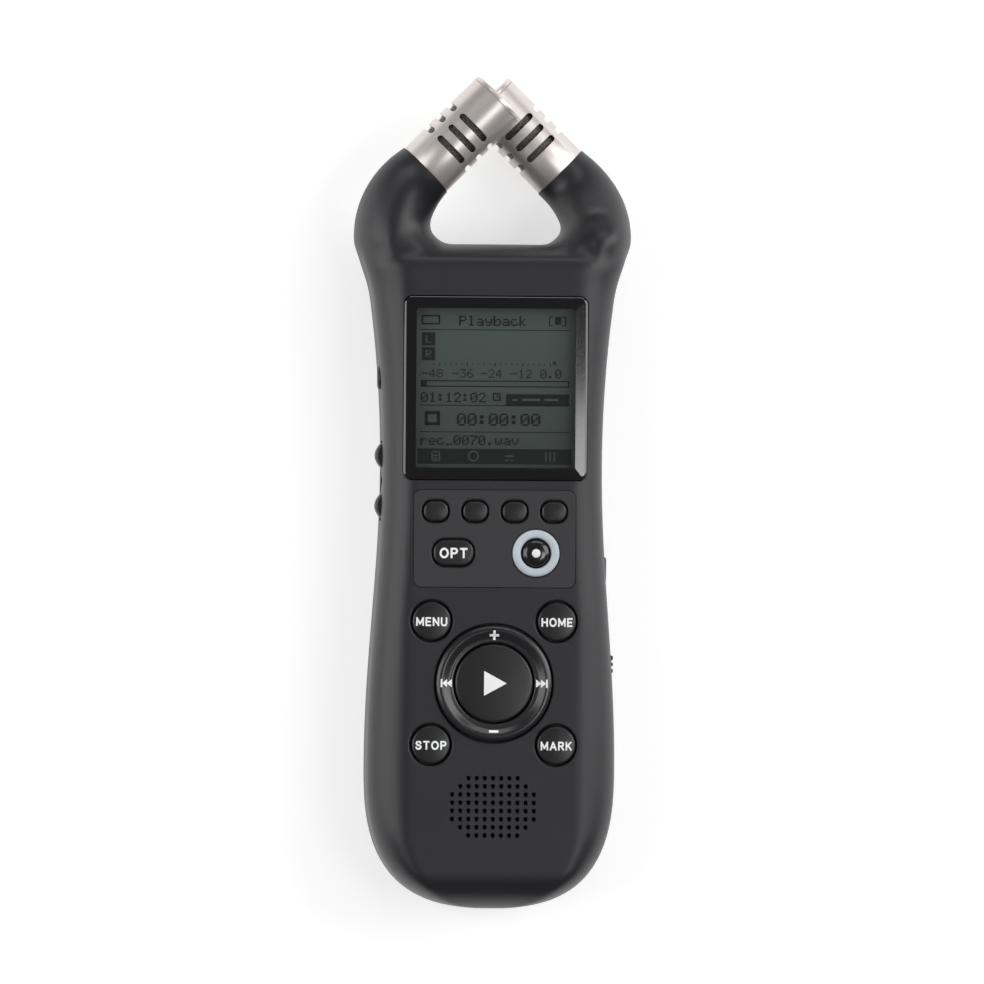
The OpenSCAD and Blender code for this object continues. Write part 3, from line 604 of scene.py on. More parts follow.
def side_hole(outline, place, side, shift=0.0):
    """Cutter through a side wall at a node's place."""
    _, y, z = place
    return loft("slot", [[(side * x, y + shift + a, z + b) for a, b in outline] for x in (10, 40)])


def node_size(node):
    low, high = box_mm(node)
    return [b - a for a, b in zip(low, high)]


SOFT = [f"soft_key_{i}" for i in (1, 2, 3, 4)]
CORNERS = ["menu_key", "home_key", "stop_key", "mark_key"]
JACKS = [("line_in_jack", -1), ("headphone_jack", 1)]
# What shows through the side walls: node, side, size of its hole, and how far the hole is off its middle
SIDE_HOLES = [
    ("level_rocker", -1, (15.2, 5.1), 0), ("side_button", 1, (5.3, 3.8), 0),
    ("hold_switch", 1, (6.25, 3.6), -1.2), ("usb_port", 1, (8.0, 3.1), 0), ("memory_card", 1, (11.6, 1.1), 0),
]
CASE_SCREWS = [(-8.0, 41.3), (8.0, 41.3), (-11.6, -71.8), (11.6, -71.8)]


def grille_cutters():
    r, flare = GRILLE_R, GRILLE_R + 0.1
    profile = [(0, 23), (r, 23), (r, BODY_T - 0.1), (flare, BODY_T), (flare, 28), (0, 28)]
    cutters = []
    for row, count in enumerate(GRILLE_ROWS):
        y = SPEAKER_Y + ((len(GRILLE_ROWS) - 1) / 2 - row) * GRILLE_PITCH
        for i in range(count):
            cutters.append(lathe("hole", profile, ((i - (count - 1) / 2) * GRILLE_PITCH, y), 16))
    return cutters


def side_cutters():
    cutters = [side_hole(circle(2.33, 40), middle(node), side) for node, side in JACKS]
    for node, side, size, shift in SIDE_HOLES:
        cutters.append(side_hole(soft_rect(*size, 0.5, 6), middle(node), side, shift))
    return cutters


def front_cutters():
    """Cutters for the front face: the wide shallow ones, then the ones that go through."""
    first = [well(*middle(n)[:2], 3.9) for n in CORNERS]
    r, rim = 11.25, 11.5
    track = [(0, INSIDE_Z), (r, INSIDE_Z), (r, BODY_T - 0.25), (r + 0.08, BODY_T - 0.08), (rim, BODY_T)]
    first.append(lathe("well", track + [(rim, ABOVE_Z), (0, ABOVE_Z)], (0, NAV_Y), 128))
    window, inlay = node_size("display_window"), node_size("keypad_inlay")
    window_at, inlay_at = middle("display_window")[:2], middle("keypad_inlay")[:2]
    first.append(hole(soft_rect(window[0] + 0.2, window[1] + 0.2, 1.7), window_at, 24.75))
    first.append(hole(soft_rect(inlay[0] + 0.15, inlay[1] + 0.15, 1.6), inlay_at, 25.35))
    second = [hole(soft_rect(32.4, 32.4, 1), window_at)]
    second += [hole(soft_rect(6.0, 5.1, 2.2), middle(n)[:2]) for n in SOFT]
    second.append(hole(soft_rect(9.0, 6.2, 2.8), middle("option_key")[:2]))
    second.append(hole(circle(4.9), middle("record_key")[:2]))
    return first + grille_cutters(), second


def casing():
    outer = outer_casing()
    cut(outer, *[horn_mouth(side) for side in (-1, 1)])
    inner = loft("inner", casing_rings(WALL, 6, 10))
    fuse(inner, *[loft("inner_horn", horn_rings(side, WALL, 40, 8, 3.0)) for side in (-1, 1)])
    cut(outer, inner)
    front, rear = outer, linked("rear_shell", outer.data.copy())
    front.name = "front_shell"
    cut(front, *parting_block(SEAM))
    keep = parting_block(-SEAM)
    fuse(keep[0], keep[1])
    combine(rear, [keep[0]], "INTERSECT")
    first, second = front_cutters()
    cuts = [joined("cuts", first), joined("cuts", second), joined("cuts", side_cutters())]
    cut(front, *cuts)
    finished(front, "casing", "case", ["front_cover"])
    cut(rear, joined("cuts", rear_cutters()), joined("cuts", side_cutters()))
    finished(rear, "casing", "case", ["rear_cover"])


def rear_cutters():
    """Cutters for the battery door, the tripod insert and the case screws."""
    (x0, y0, _), (x1, y1, _) = box_mm("battery_door")
    bay = hole(soft_rect(x1 - x0 + 0.5, y1 - y0 + 0.5, 0.6), ((x0 + x1) / 2, (y0 + y1) / 2), -2, 5)
    cutters = [bay]
    places = [(middle("tripod_insert")[:2], 4.75, 9, 64)] + [(p, 2.5, 3, 40) for p in CASE_SCREWS]
    for place, r, depth, steps in places:
        profile = [(0, -1), (r + 0.2, -1), (r + 0.2, 0), (r, 0.2), (r, depth), (0, depth)]
        cutters.append(lathe("hole", profile, place, steps))
    return cutters


casing()

# ---------- display

# Rows of a 5 by 7 dot character set, from the top, two hexadecimal digits to a row
GLYPHS = {
    "0": "0E11131519110E", "1": "040C040404040E", "2": "0E11010204081F", "3": "1F02040201110E",
    "4": "02060A121F0202", "6": "0608101E11110E", "7": "1F010204080808", "8": "0E11110E11110E",
    ":": "000C0C000C0C00", "-": "0000001F000000", ".": "00000000000C0C", "_": "0000000000001F",
    "P": "1E11111E101010", "l": "0C04040404040E", "a": "00000E010F110F", "y": "000011110F010E",
    "b": "1010161911111E", "c": "00000E1010110E", "k": "10101214181412", "r": "00001619101010",
    "e": "00000E111F100E", "w": "0000111115150A", "v": "00001111110A04",
    "[": "0E08080808080E", "]": "0E02020202020E", "L": "1010101010101F", "R": "1E11111E141211",
}


def dots(text, left, top, dot, bold=False):
    """Squares of a 5 by 7 dot character set, as (x, y, width, height) rectangles."""
    rects = []
    for i, letter in enumerate(text):
        rows = bytes.fromhex(GLYPHS[letter]) if letter != " " else bytes(7)
        for row, bits in enumerate(rows):
            for col in range(5):
                if bits >> (4 - col) & 1:
                    x, y = left + (6 * i + col) * dot, top - (row + 1) * dot
                    rects.append((x, y, dot * (1.25 if bold else 0.92), dot * 0.92))
    return rects


def frame_rects(x, y, w, h, t):
    return [(x, y, w, t), (x, y + h - t, w, t), (x, y, t, h), (x + w - t, y, t, h)]


def sheet_of(name, rects, at, z0, z1):
    """Thin raised rectangles as one mesh."""
    verts, faces = [], []
    for x, y, w, h in rects:
        n = len(verts)
        corners = ((x, y), (x + w, y), (x + w, y + h), (x, y + h))
        verts += [(at[0] + a, at[1] + b, z) for z in (z0, z1) for a, b in corners]
        faces += [(n, n + 3, n + 2, n + 1), (n + 4, n + 5, n + 6, n + 7)]
        faces += [(n + k, n + (k + 1) % 4, n + 4 + (k + 1) % 4, n + 4 + k) for k in range(4)]
    return mesh_object(name, verts, faces)


def screen_ink():
    dot = 0.262
    ink = dots("Playback", -6.9, 13.7, 0.272, True) + frame_rects(-14.0, 12.0, 3.5, 1.8, 0.28)
    ink += dots("[", 9.9, 13.7, dot) + dots("]", 12.4, 13.7, dot) + [(11.3, 12.1, 1.2, 1.5)]
    ink += [(-14.2, 10.95, 28.3, 0.16), (-14.2, -3.35, 28.3, 0.16), (-14.2, -8.4, 28.3, 0.16)]
    ink += [(-13.9, 8.0, 2.5, 2.5), (-13.9, 5.2, 2.5, 2.5)]
    for k in range(-11, 12):
        ink.append((k * 1.05 - 0.1, 4.4 if k % 5 else 4.2, 0.16, 0.3 if k % 5 else 0.6))
    for label, x in (("-48", -13.9), ("-36", -8.1), ("-24", -2.7), ("-12", 3.0), ("0.0", 8.6)):
        ink += dots(label, x, 3.6, 0.235)
    ink += [(11.0, 4.6, 0.5, 0.5)]
    ink += frame_rects(-14.1, 0.2, 28.2, 1.25, 0.22) + [(-14.1, 0.2, 1.2, 1.25)]
    ink += dots("01:12:02", -14.1, -0.85, dot, True)
    ink += frame_rects(-0.4, -2.4, 1.5, 1.5, 0.25) + [(0.3, -1.7, 0.2, 0.6), (0.3, -1.7, 0.5, 0.2)]
    ink += [(2.1, -3.3, 12.0, 2.2)]
    ink += frame_rects(-13.3, -7.1, 2.9, 2.7, 0.6)
    ink += dots("00:00:00", -7.2, -4.75, 0.335, True)
    ink += dots("rec_0070.wav", -14.1, -8.95, dot, True)
    return ink


def screen_bar(at, z):
    """Light marks on the screen's dark bar and boxes."""
    light = frame_rects(-12.0, -13.9, 1.7, 2.0, 0.3) + [(-11.6, -13.4, 0.9, 0.25), (-11.6, -12.9, 0.9, 0.25)]
    light += [(2.0, -13.0, 1.6, 0.3), (2.0, -13.8, 0.6, 0.3), (3.1, -13.8, 0.5, 0.3), (9.6, -13.8, 0.3, 1.8)]
    light += [(10.4, -13.8, 0.3, 1.8), (11.2, -13.8, 0.3, 1.8)]
    light += dots("L", -13.2, 9.95, 0.2, True) + dots("R", -13.2, 7.15, 0.2, True)
    light += [(3.3, -2.35, 1.0, 0.3), (5.2, -2.35, 3.4, 0.4), (9.4, -2.35, 2.6, 0.4)]
    marks = sheet_of("screen_marks", light, at, z, z + 0.03)
    ring = [(0.75, z), (1.05, z), (1.05, z + 0.03), (0.75, z + 0.03)]
    return joined("screen_marks", [marks, lathe("screen_ring", ring, (at[0] - 4.0, at[1] - 12.85), 32)])


# How far the window's edge is set in, and how far it has dropped there
WINDOW_EDGE = (
    (0.05, 0.44), (0.16, 0.35), (0.45, 0.27), (0.9, 0.2), (1.4, 0.125), (1.9, 0.05), (2.2, 0.012), (2.32, 0),
)


def display():
    at = middle("display_window")[:2]
    w, h, _ = node_size("display_window")
    top, lcd_top = box_mm("display_window")[1][2], box_mm("lcd_panel")[1][2]
    glass = slab("lcd_glass", soft_rect(30.6, 30.6, 0.3, 2), lcd_top - 1.7, lcd_top, at)
    finished(glass, "lcd", "case", ["lcd_panel"])
    ink = sheet_of("screen_figures", screen_ink(), at, lcd_top, lcd_top + 0.03)
    finished(ink, "ink", "case")
    bar = sheet_of("screen_bar", [(-14.6, -14.4, 29.2, 2.9)], at, lcd_top, lcd_top + 0.025)
    finished(bar, "ink", "case")
    finished(screen_bar(at, lcd_top + 0.02), "lcd", "case")
    side = soft_rect(w, h, 1.6)
    out = [(soft_rect(w - 0.5, h - 0.5, 1.35), top - 1.2), (side, top - 1.0), (side, top - 0.55)]
    for inset, drop in WINDOW_EDGE:
        out.append((soft_rect(w - 2 * inset, h - 2 * inset, max(0.4, 1.6 - inset)), top - drop))
    border = stack("window_border", out, at)
    cut(border, hole(soft_rect(30.2, 30.2, 0.5), at))
    finished(border, "border", "case", ["display_window"], 50)
    pane = slab("window_pane", soft_rect(30.16, 30.16, 0.5), top - 0.9, top - 0.02, at)
    finished(pane, "pane", "case")


display()

# ---------- keys


def dome(r, radius, height):
    """Drop of a slightly domed key top at a distance r from its middle."""
    return height * (r / radius) ** 2


def crowned(radius, top, height, count):
    """Profile of a domed key top, inwards from its edge."""
    radii = [radius * (1 - k / count) for k in range(1, count + 1)]
    return [(r, top - dome(r, radius, height)) for r in radii]


STROKES = {
    "A": [[(0, 0), (0.43, 1), (0.86, 0)], [(0.16, 0.32), (0.7, 0.32)]],
    "E": [[(0.62, 1), (0, 1), (0, 0), (0.62, 0)], [(0, 0.5), (0.56, 0.5)]],
    "H": [[(0, 0), (0, 1)], [(0.74, 0), (0.74, 1)], [(0, 0.5), (0.74, 0.5)]],
    "K": [[(0, 0), (0, 1)], [(0.68, 1), (0, 0.36)], [(0.26, 0.58), (0.72, 0)]],
    "M": [[(0, 0), (0, 1), (0.46, 0.2), (0.92, 1), (0.92, 0)]],
    "N": [[(0, 0), (0, 1), (0.74, 0), (0.74, 1)]],
    "O": [[(0.44 + 0.88 * x, 0.5 + y) for x, y in circle(0.5, 16) + [(0.5, 0)]]],
    "P": [[(0, 0), (0, 1), (0.42, 1), (0.6, 0.93), (0.67, 0.75), (0.6, 0.56), (0.42, 0.48), (0, 0.48)]],
    "S": [[(0.66, 0.78), (0.58, 0.94), (0.36, 1), (0.13, 0.94), (0.04, 0.76), (0.13, 0.6), (0.36, 0.52),
           (0.58, 0.44), (0.68, 0.26), (0.58, 0.07), (0.34, 0), (0.1, 0.06), (0, 0.24)]],
    "T": [[(0, 1), (0.72, 1)], [(0.36, 1), (0.36, 0)]],
    "U": [[(0, 1), (0, 0.32), (0.07, 0.1), (0.24, 0), (0.5, 0), (0.67, 0.1), (0.74, 0.32), (0.74, 1)]],
}
STROKES["R"] = STROKES["P"] + [[(0.34, 0.48), (0.7, 0)]]


def legend_mesh(name, text, width, height, at, surface, body):
    """Bold lettering of straight strokes, fitted to a width and height and draped over a surface."""
    half, gap = 0.12, 0.46
    pieces, left = [], 0.0
    for letter in text:
        lines = STROKES[letter]
        for line in lines:
            for (x0, y0), (x1, y1) in zip(line, line[1:]):
                length = hypot(x1 - x0, y1 - y0)
                dx, dy = (x1 - x0) / length * half, (y1 - y0) / length * half
                ends = ((x0, y0, -0.8, 1), (x0, y0, -0.8, -1), (x1, y1, 0.8, -1), (x1, y1, 0.8, 1))
                pieces.append([(left + x + dx * a - dy * b, y + dy * a + dx * b) for x, y, a, b in ends])
        left += max(x for line in lines for x, _ in line) + gap
    total = left - gap
    sx, sy = width / (total + 2 * half), height / (1 + 2 * half)
    x0, y0 = at[0] - total / 2 * sx, at[1] - 0.5 * sy
    outlines = [[(x0 + x * sx, y0 + y * sy) for x, y in piece] for piece in pieces]
    mark_mesh(name, outlines, surface, body, 2)


def mark_mesh(name, outlines, surface, body, cuts=5):
    """Printed shapes, each a convex outline of points, draped over a surface."""
    bm = bmesh.new()
    for i, outline in enumerate(outlines):
        bm.faces.new([bm.verts.new((x, y, 0.001 * i)) for x, y in outline])
    bmesh.ops.triangulate(bm, faces=bm.faces)
    bmesh.ops.subdivide_edges(bm, edges=bm.edges, cuts=cuts, use_grid_fill=True)
    for v in bm.verts:
        v.co.z += surface(v.co.x, v.co.y) + 0.035
    sides = bmesh.ops.extrude_face_region(bm, geom=bm.faces[:])
    for v in (g for g in sides["geom"] if isinstance(g, bmesh.types.BMVert)):
        v.co.z -= 0.1
    bmesh.ops.recalc_face_normals(bm, faces=bm.faces)
    for v in bm.verts:
        v.co *= MM
    finished(from_bmesh(name, bm), "legend", body)


def round_key(node, text):
    x, y, _ = middle(node)
    low, top = heights(node)
    r, edge, side, rise = 3.62, 0.4, 0.6, 0.2
    lip = r + FLANGE_LIP
    profile = [(0, low), (1.6, low), (1.6, FLANGE_Z), (lip, FLANGE_Z), (lip, FLANGE_TOP)]
    profile += [(r, FLANGE_TOP), (r, top - side)]
    profile += [(r - edge + edge * c, top - side + (side - rise) * s) for c, s in quarter(5)]
    profile += crowned(r - edge, top, rise, 6)
    cap = lathe(node.replace("_key", "_cap"), profile, (x, y), 72)
    finished(cap, "key", node, [node], 60)

    def on_top(a, b):
        return top - dome(hypot(a - x, b - y), r - edge, rise)

    legend_mesh(text.lower() + "_legend", text, 5.9, 1.7, (x, y - 0.1), on_top, node)


def shaped_cap(node, size, r):
    """Cap of an obround key with a softly crowned top."""
    x, y, _ = middle(node)
    low, top = heights(node)
    (w, h), edge, side = size, 0.45, 0.5

    def layer(inset, z, share=1.0):
        """The key's outline, set in and scaled, at a height."""
        return soft_rect((w - 2 * inset) * share, (h - 2 * inset) * share, (r - inset) * share), z

    layers = [layer(-FLANGE_LIP, z) for z in (FLANGE_Z, FLANGE_TOP)]
    layers += [layer(0, FLANGE_TOP), layer(0, top - side)]
    layers += [layer(edge * (1 - c), top - side + 0.4 * s) for c, s in quarter(6)]
    layers += [layer(edge, top - 0.03, 0.6), layer(edge, top, 0.2)]
    name = node.replace("_key", "_cap")
    cap = stack(name, layers, (x, y))
    stem_top = FLANGE_Z + 0.1
    stem = lathe("stem", [(0, low), (1.3, low), (1.3, stem_top), (0, stem_top)], (x, y), 32)
    finished(joined(name, [cap, stem]), "key", node, [node], 60)
    return x, y, top


def record_group():
    """Pale light guide, the glossy record key in it, and the lens of its lamp."""
    at = middle("record_key")[:2]
    low, top = heights("record_ring")
    r0, r1 = 2.87, 4.45
    profile = [(r0, low), (r1, low), (r1, top - 0.35), (r1 - 0.1, top - 0.12), (r1 - 0.35, top)]
    profile += [(r0 + 0.4, top - 0.02), (r0 + 0.12, top - 0.15), (r0, top - 0.4)]
    guide = lathe("record_light_guide", profile, at)
    finished(guide, "light_guide", "case", ["record_ring"], 50)
    low, top = heights("record_key")
    r, hollow, foot, side = 2.55, 0.85, 3.15, 0.7
    profile = [(0, low), (1.3, low), (1.3, 22), (foot, 22), (foot, 22.7), (r, 22.7), (r, top - side)]
    profile += [(hollow + (r - hollow) * c, top - side + 0.68 * s) for c, s in quarter(9)]
    profile += [(0.84, top - 0.2), (0, top - 0.2)]
    finished(lathe("record_cap", profile, at), "record", "record_key", ["record_key"], 60)
    profile = [(0, top - 0.8), (0.83, top - 0.8), (0.83, top - 0.1), (0.7, top - 0.02), (0.4, top + 0.02)]
    lens = lathe("record_lens", profile + [(0, top + 0.03)], at, 32)
    finished(lens, "lamp", "record_key", ["record_lamp"], 50)


def nav_ring():
    """Tilting ring: a raised rim, and a dished track that carries four marks."""
    low, rim = heights("nav_ring")
    bore, r, foot, track = 7.72, 11.0, 12.2, rim - 0.62
    top = [(bore, track - 0.25), (bore + 0.08, track - 0.06), (bore + 0.22, track), (8.3, track - 0.03)]
    top += [(8.3 + 0.1 * k, mix(track - 0.03, rim, smooth(k / 17))) for k in range(1, 18)]
    top += [(10.0 + 0.95 * s, rim - 0.6 * (1 - c)) for c, s in quarter(10)]
    profile = [(bore, low), (foot, low), (foot, low + 0.8), (r, low + 0.8), (r, rim - 0.75)] + top[::-1]
    ring = lathe("nav_ring_rim", profile, (0, NAV_Y), 160)
    finished(ring, "ring", "nav_ring", ["nav_ring"], 60)

    def on_track(a, b):
        """Height of the ring's upper side at a point."""
        distance = hypot(a, b - NAV_Y)
        for (r0, z0), (r1, z1) in zip(top, top[1:]):
            if r0 <= distance <= r1:
                return mix(z0, z1, (distance - r0) / (r1 - r0))
        return track

    nav_marks(on_track)


def nav_marks(surface):
    """Plus, minus, previous and next marks."""
    r_mark, long, thick, tall = 9.1, 1.8, 0.46, 0.78
    across, upright = soft_rect(long, thick, 0.05, 1), soft_rect(thick, long, 0.05, 1)
    for name, sign, bars in (("plus", 1, [across, upright]), ("minus", -1, [across])):
        y = NAV_Y + sign * r_mark
        mark_mesh(name + "_mark", [[(a, y + b) for a, b in bar] for bar in bars], surface, "nav_ring")
    arrow = [(0, tall), (0.95, 0), (0, -tall)]
    bar = [(0, tall), (0.32, tall), (0.32, -tall), (0, -tall)]
    for name, sign in (("previous", -1), ("next", 1)):
        shapes = [(arrow, -1.1), (arrow, -0.2), (bar, 0.72)]
        outlines = [[(sign * (r_mark + shift + a), NAV_Y + b) for a, b in shape] for shape, shift in shapes]
        mark_mesh(name + "_mark", outlines, surface, "nav_ring")


def play_key():
    low, top = heights("play_key")
    r, edge, side, rise = 7.42, 0.5, 0.75, 0.25
    profile = [(0, low), (4.5, low), (4.5, FLANGE_TOP), (r, FLANGE_TOP), (r, top - side)]
    profile += [(r - edge + edge * c, top - side + edge * s) for c, s in quarter(6)]
    profile += crowned(r - edge, top, rise, 8)
    cap = lathe("play_cap", profile, (0, NAV_Y), 128)
    finished(cap, "key", "play_key", ["play_key"], 60)
    triangle = [(-1.9, NAV_Y + 2.35), (2.4, NAV_Y), (-1.9, NAV_Y - 2.35)]

    def on_top(a, b):
        return top - dome(hypot(a, b - NAV_Y), r - edge, rise)

    mark_mesh("play_mark", [triangle], on_top, "play_key")


def keypad_inlay():
    w, h, _ = node_size("keypad_inlay")
    top = box_mm("keypad_inlay")[1][2]
    side = soft_rect(w, h, 1.5)
    layers = [(soft_rect(w - 0.1, h - 0.1, 1.45), top - 0.62), (side, top - 0.5), (side, top - 0.1)]
    layers.append((soft_rect(w - 0.2, h - 0.2, 1.4), top))
    plate = stack("inlay_plate", layers, middle("keypad_inlay")[:2])
    rim = [(0, INSIDE_Z), (0, top - 0.35), (0.06, top - 0.16), (0.2, top - 0.04), (0.4, top), (0.4, top + 3)]

    def key_hole(node, w, h, r):
        """Cutter for an obround key, with a soft rim."""
        outlines = [(soft_rect(w + 2 * g, h + 2 * g, r + g), z) for g, z in rim]
        return stack("hole", outlines, middle(node)[:2])

    cutters = [key_hole(node, 5.1, 4.25, 1.9) for node in SOFT] + [key_hole("option_key", 8.0, 5.3, 2.4)]
    rings = [(circle(4.55 + 0.5 * g, 96), z) for g, z in rim]
    cutters.append(stack("hole", rings, middle("record_key")[:2]))
    cut(plate, joined("cuts", cutters))
    finished(plate, "inlay", "case", ["keypad_inlay"], 50)


keypad_inlay()
for soft_node in SOFT:
    shaped_cap(soft_node, (4.65, 3.8), 1.7)
opt_x, opt_y, opt_top = shaped_cap("option_key", (7.6, 4.9), 2.2)
legend_mesh("option_legend", "OPT", 5.3, 2.0, (opt_x, opt_y - 0.05), lambda a, b: opt_top, "option_key")
record_group()
for corner_node, word in zip(CORNERS, ("MENU", "HOME", "STOP", "MARK")):
    round_key(corner_node, word)
nav_ring()
play_key()

# ---------- microphones


def sound_slots(side, reach):
    """Cutters for the slots: four windows of three, each a slot with round ends."""
    cutters = []
    for window in range(4):
        turn = Matrix.Rotation(radians(90 * window + WINDOW_TURN[side]), 4, "Z")
        for k in range(3):
            z = SLOT_FIRST + k * SLOT_PITCH
            outline = soft_rect(2 * SLOT_HALF + SLOT_W, SLOT_W, SLOT_W / 2 - 0.005, 6)
            cutter = loft("slot", [[(x, a, z + b) for a, b in outline] for x in (reach, 9)])
            cutters.append(placed(cutter, turn))
    return cutters


def microphone(side):
    label = "left" if side < 0 else "right"
    matrix = barrel_frame(side)
    r, bore, stub = BARREL_R, BARREL_R - 0.8, HORN_TIP_R - 1.9
    cap_z = BARREL_LEN - 1.0
    profile = [(stub - 0.8, -1.5), (stub, -1.5), (stub, 0), (r - 0.25, 0), (r - 0.07, 0.07), (r, 0.25)]
    profile += [(r, cap_z - 0.05), (r - 0.08, cap_z), (bore, cap_z), (bore, 1.5), (stub - 0.8, 1.5)]
    tube = lathe("mic_tube_" + label, profile, (0, 0), 128)
    cut(tube, joined("slots", sound_slots(side, 2.2)))
    finished(placed(tube, matrix), "nickel", "case", ["mic_barrel_" + label], 40)
    plug, seat, end = bore - 0.02, cap_z + 0.02, BARREL_LEN
    profile = [(0, cap_z - 1.4), (plug, cap_z - 1.4), (plug, seat), (r - 0.1, seat), (r, cap_z + 0.1)]
    profile += [(r, end - 0.4), (r - 0.1, end - 0.15), (r - 0.32, end - 0.03), (r - 0.6, end), (0, end)]
    cap = lathe("mic_end_" + label, profile, (0, 0), 128)
    finished(placed(cap, matrix), "nickel", "case", ["mic_cap_" + label], 40)
    rings = [(bore - 0.25, 4.2), (bore - 0.05, 4.2), (bore - 0.05, end - 2.6), (bore - 0.25, end - 2.6)]
    sleeve = lathe("mic_sleeve_" + label, rings, (0, 0), 64)
    finished(placed(sleeve, matrix), "mesh", "case", ["mic_mesh_" + label])


microphone(-1)
microphone(1)

# ---------- side controls


def level_rocker():
    """Saddle-shaped rocker: two soft lobes either side of the middle."""
    out, edge, saddle, tip = half_width(ROCKER_Y), 0.55, 0.33, 0.97
    rings = []
    for k in range(-32, 33):
        t = abs(k) / 32
        lobe = (t - saddle) / (1 - saddle)
        if lobe <= 0:
            crown = -0.25 * (1 - t / saddle) ** 2
        else:
            crown = 1.25 * sin(pi * lobe) ** 0.8 if lobe < 1 else 0.0
        half = ROCKER_T / 2 - 0.25 * max(0.0, t - tip) / (1 - tip)
        x, y = out + crown, ROCKER_Y + ROCKER_HALF * k / 32
        section = [(-out + 2.6, half), (-x + edge, half)]
        section += [(-x + edge * (1 - s), half - 0.9 * (1 - c)) for c, s in quarter(8)]
        ring = [(a, y, MID_Z - b) for a, b in section]
        rings.append(ring + [(a, y, MID_Z + b) for a, b in reversed(section[:-1])])
    body = loft("rocker_lever", rings)
    pin_at = (ROCKER_PIN_X, ROCKER_Y)
    fuse(body, slab("hub", circle(1.7, 40), MID_Z - 2.25, MID_Z + 2.25, pin_at))
    cut(body, hole(circle(0.75, 32), pin_at, 5, 20))
    finished(body, "side", "level_rocker", ["level_rocker"], 45)


def side_button():
    _, y, z = middle("side_button")
    (low, _, _), (top, _, _) = box_mm("side_button")
    layers = [(low, 0.6), (low + 0.8, 0.6), (low + 0.8, 0), (top - 0.35, 0), (top - 0.15, -0.08)]
    rings = []
    for x, grow in layers + [(top - 0.04, -0.22), (top, -0.5)]:
        outline = soft_rect(4.9 + 2 * grow, 3.4 + 2 * grow, 0.8 + max(grow, -0.4), 6)
        rings.append([(x, y + a, z + b) for a, b in outline])
    finished(loft("side_button_cap", rings), "side", "side_button", ["side_button"], 45)


def hold_slider():
    """Slide switch: a flat plate and a knob with three ribs."""
    _, y, z = middle("hold_switch")
    (low, _, _), (top, _, _) = box_mm("hold_switch")
    plate = along_x("plate", soft_rect(4.65, 4.8, 0.3, 3), low, low + 0.7, y, z)
    half, root, groove, shoulder = 1.725, low + 0.6, -0.3, -0.06
    profile = [(-half, -0.35), (-1.6, -0.12)]
    for k in range(3):
        mid = 1.15 * (k - 1)
        profile += [(mid - 0.38, groove if k > 0 else shoulder), (mid - 0.2, 0), (mid + 0.2, 0)]
        profile.append((mid + 0.38, groove if k < 2 else shoulder))
    profile += [(1.6, -0.12), (half, -0.35)]
    section = [(root, -half)] + [(top + dx, dy) for dy, dx in profile] + [(root, half)]
    knob = loft("knob", [[(x, y + dy, z + dz) for x, dy in section] for dz in (-1.6, 1.6)])
    fuse(plate, knob)
    finished(rounded(plate, 0.08, 2), "side", "hold_switch", ["hold_switch"], 45)


def jack(node, side):
    """Socket: a moulded block and a turned collar with a dark bore."""
    low, high = box_mm(node)
    _, y, z = middle(node)
    out = high[0] if side > 0 else -low[0]
    inner = low[0] if side > 0 else -high[0]
    bore, r = JACK_BORE_R, JACK_COLLAR_R
    profile = [(bore, out - 9), (r, out - 9), (r, out - 0.25), (r - 0.08, out - 0.08), (r - 0.25, out)]
    collar = lathe("collar", profile + [(r - 0.32, out - 0.02), (bore, out - 0.2)], (0, 0), 64)
    body = slab("block", soft_rect(6.0, 6.4, 0.4, 3), inner, out - 2.6)
    cut(body, hole(circle(bore, 48), (0, 0), inner + 2, out + 5))
    parts = joined(node.replace("_jack", "_socket"), [collar, body])
    turn = Matrix.Translation((0, y, z)) @ Matrix.Rotation(side * pi / 2, 4, "Y")
    finished(placed(parts, turn), "chip", "case", [node], 45)


level_rocker()
side_button()
hold_slider()
for jack_node, jack_side in JACKS:
    jack(jack_node, jack_side)

# ---------- back and battery bay


def battery_door():
    """Door with two knuckles, a lip at its free end and five grip ribs."""
    low_y = box_mm("battery_door")[0][1]
    top = 1.8
    plate = slab("door_panel", soft_rect(32.4, 60.0, 0.5, 4), 0, top, (0, (low_y + HINGE_Y) / 2))
    cut(plate, hole(soft_rect(15.8, 8.0, 0.2, 2), (0, -5.1), -2, 6))
    barrel = circle(HINGE_R, 48)
    knuckles = [along_x("knuckle", barrel, s * 7.9, s * 16.2, HINGE_Y, HINGE_Z) for s in (-1, 1)]
    lip = slab("lip", soft_rect(28.4, 1.0, 0.2, 2), top - 0.1, 3.0, (0, low_y + 1.3))
    fuse(plate, *knuckles, lip)
    pin_hole = along_x("hole", circle(0.8, 40), -18, 18, HINGE_Y, HINGE_Z)
    ribs = []
    for k in range(5):
        ribs.append(slab("rib", soft_rect(14 - 1.2 * k, 0.7, 0.34, 5), -1, 0.35, (0, low_y + 5.5 + 1.7 * k)))
    cut(plate, pin_hole, joined("ribs", ribs))
    finished(rounded(plate, 0.12, 2, 40), "casing", "battery_door", ["battery_door"], 45)


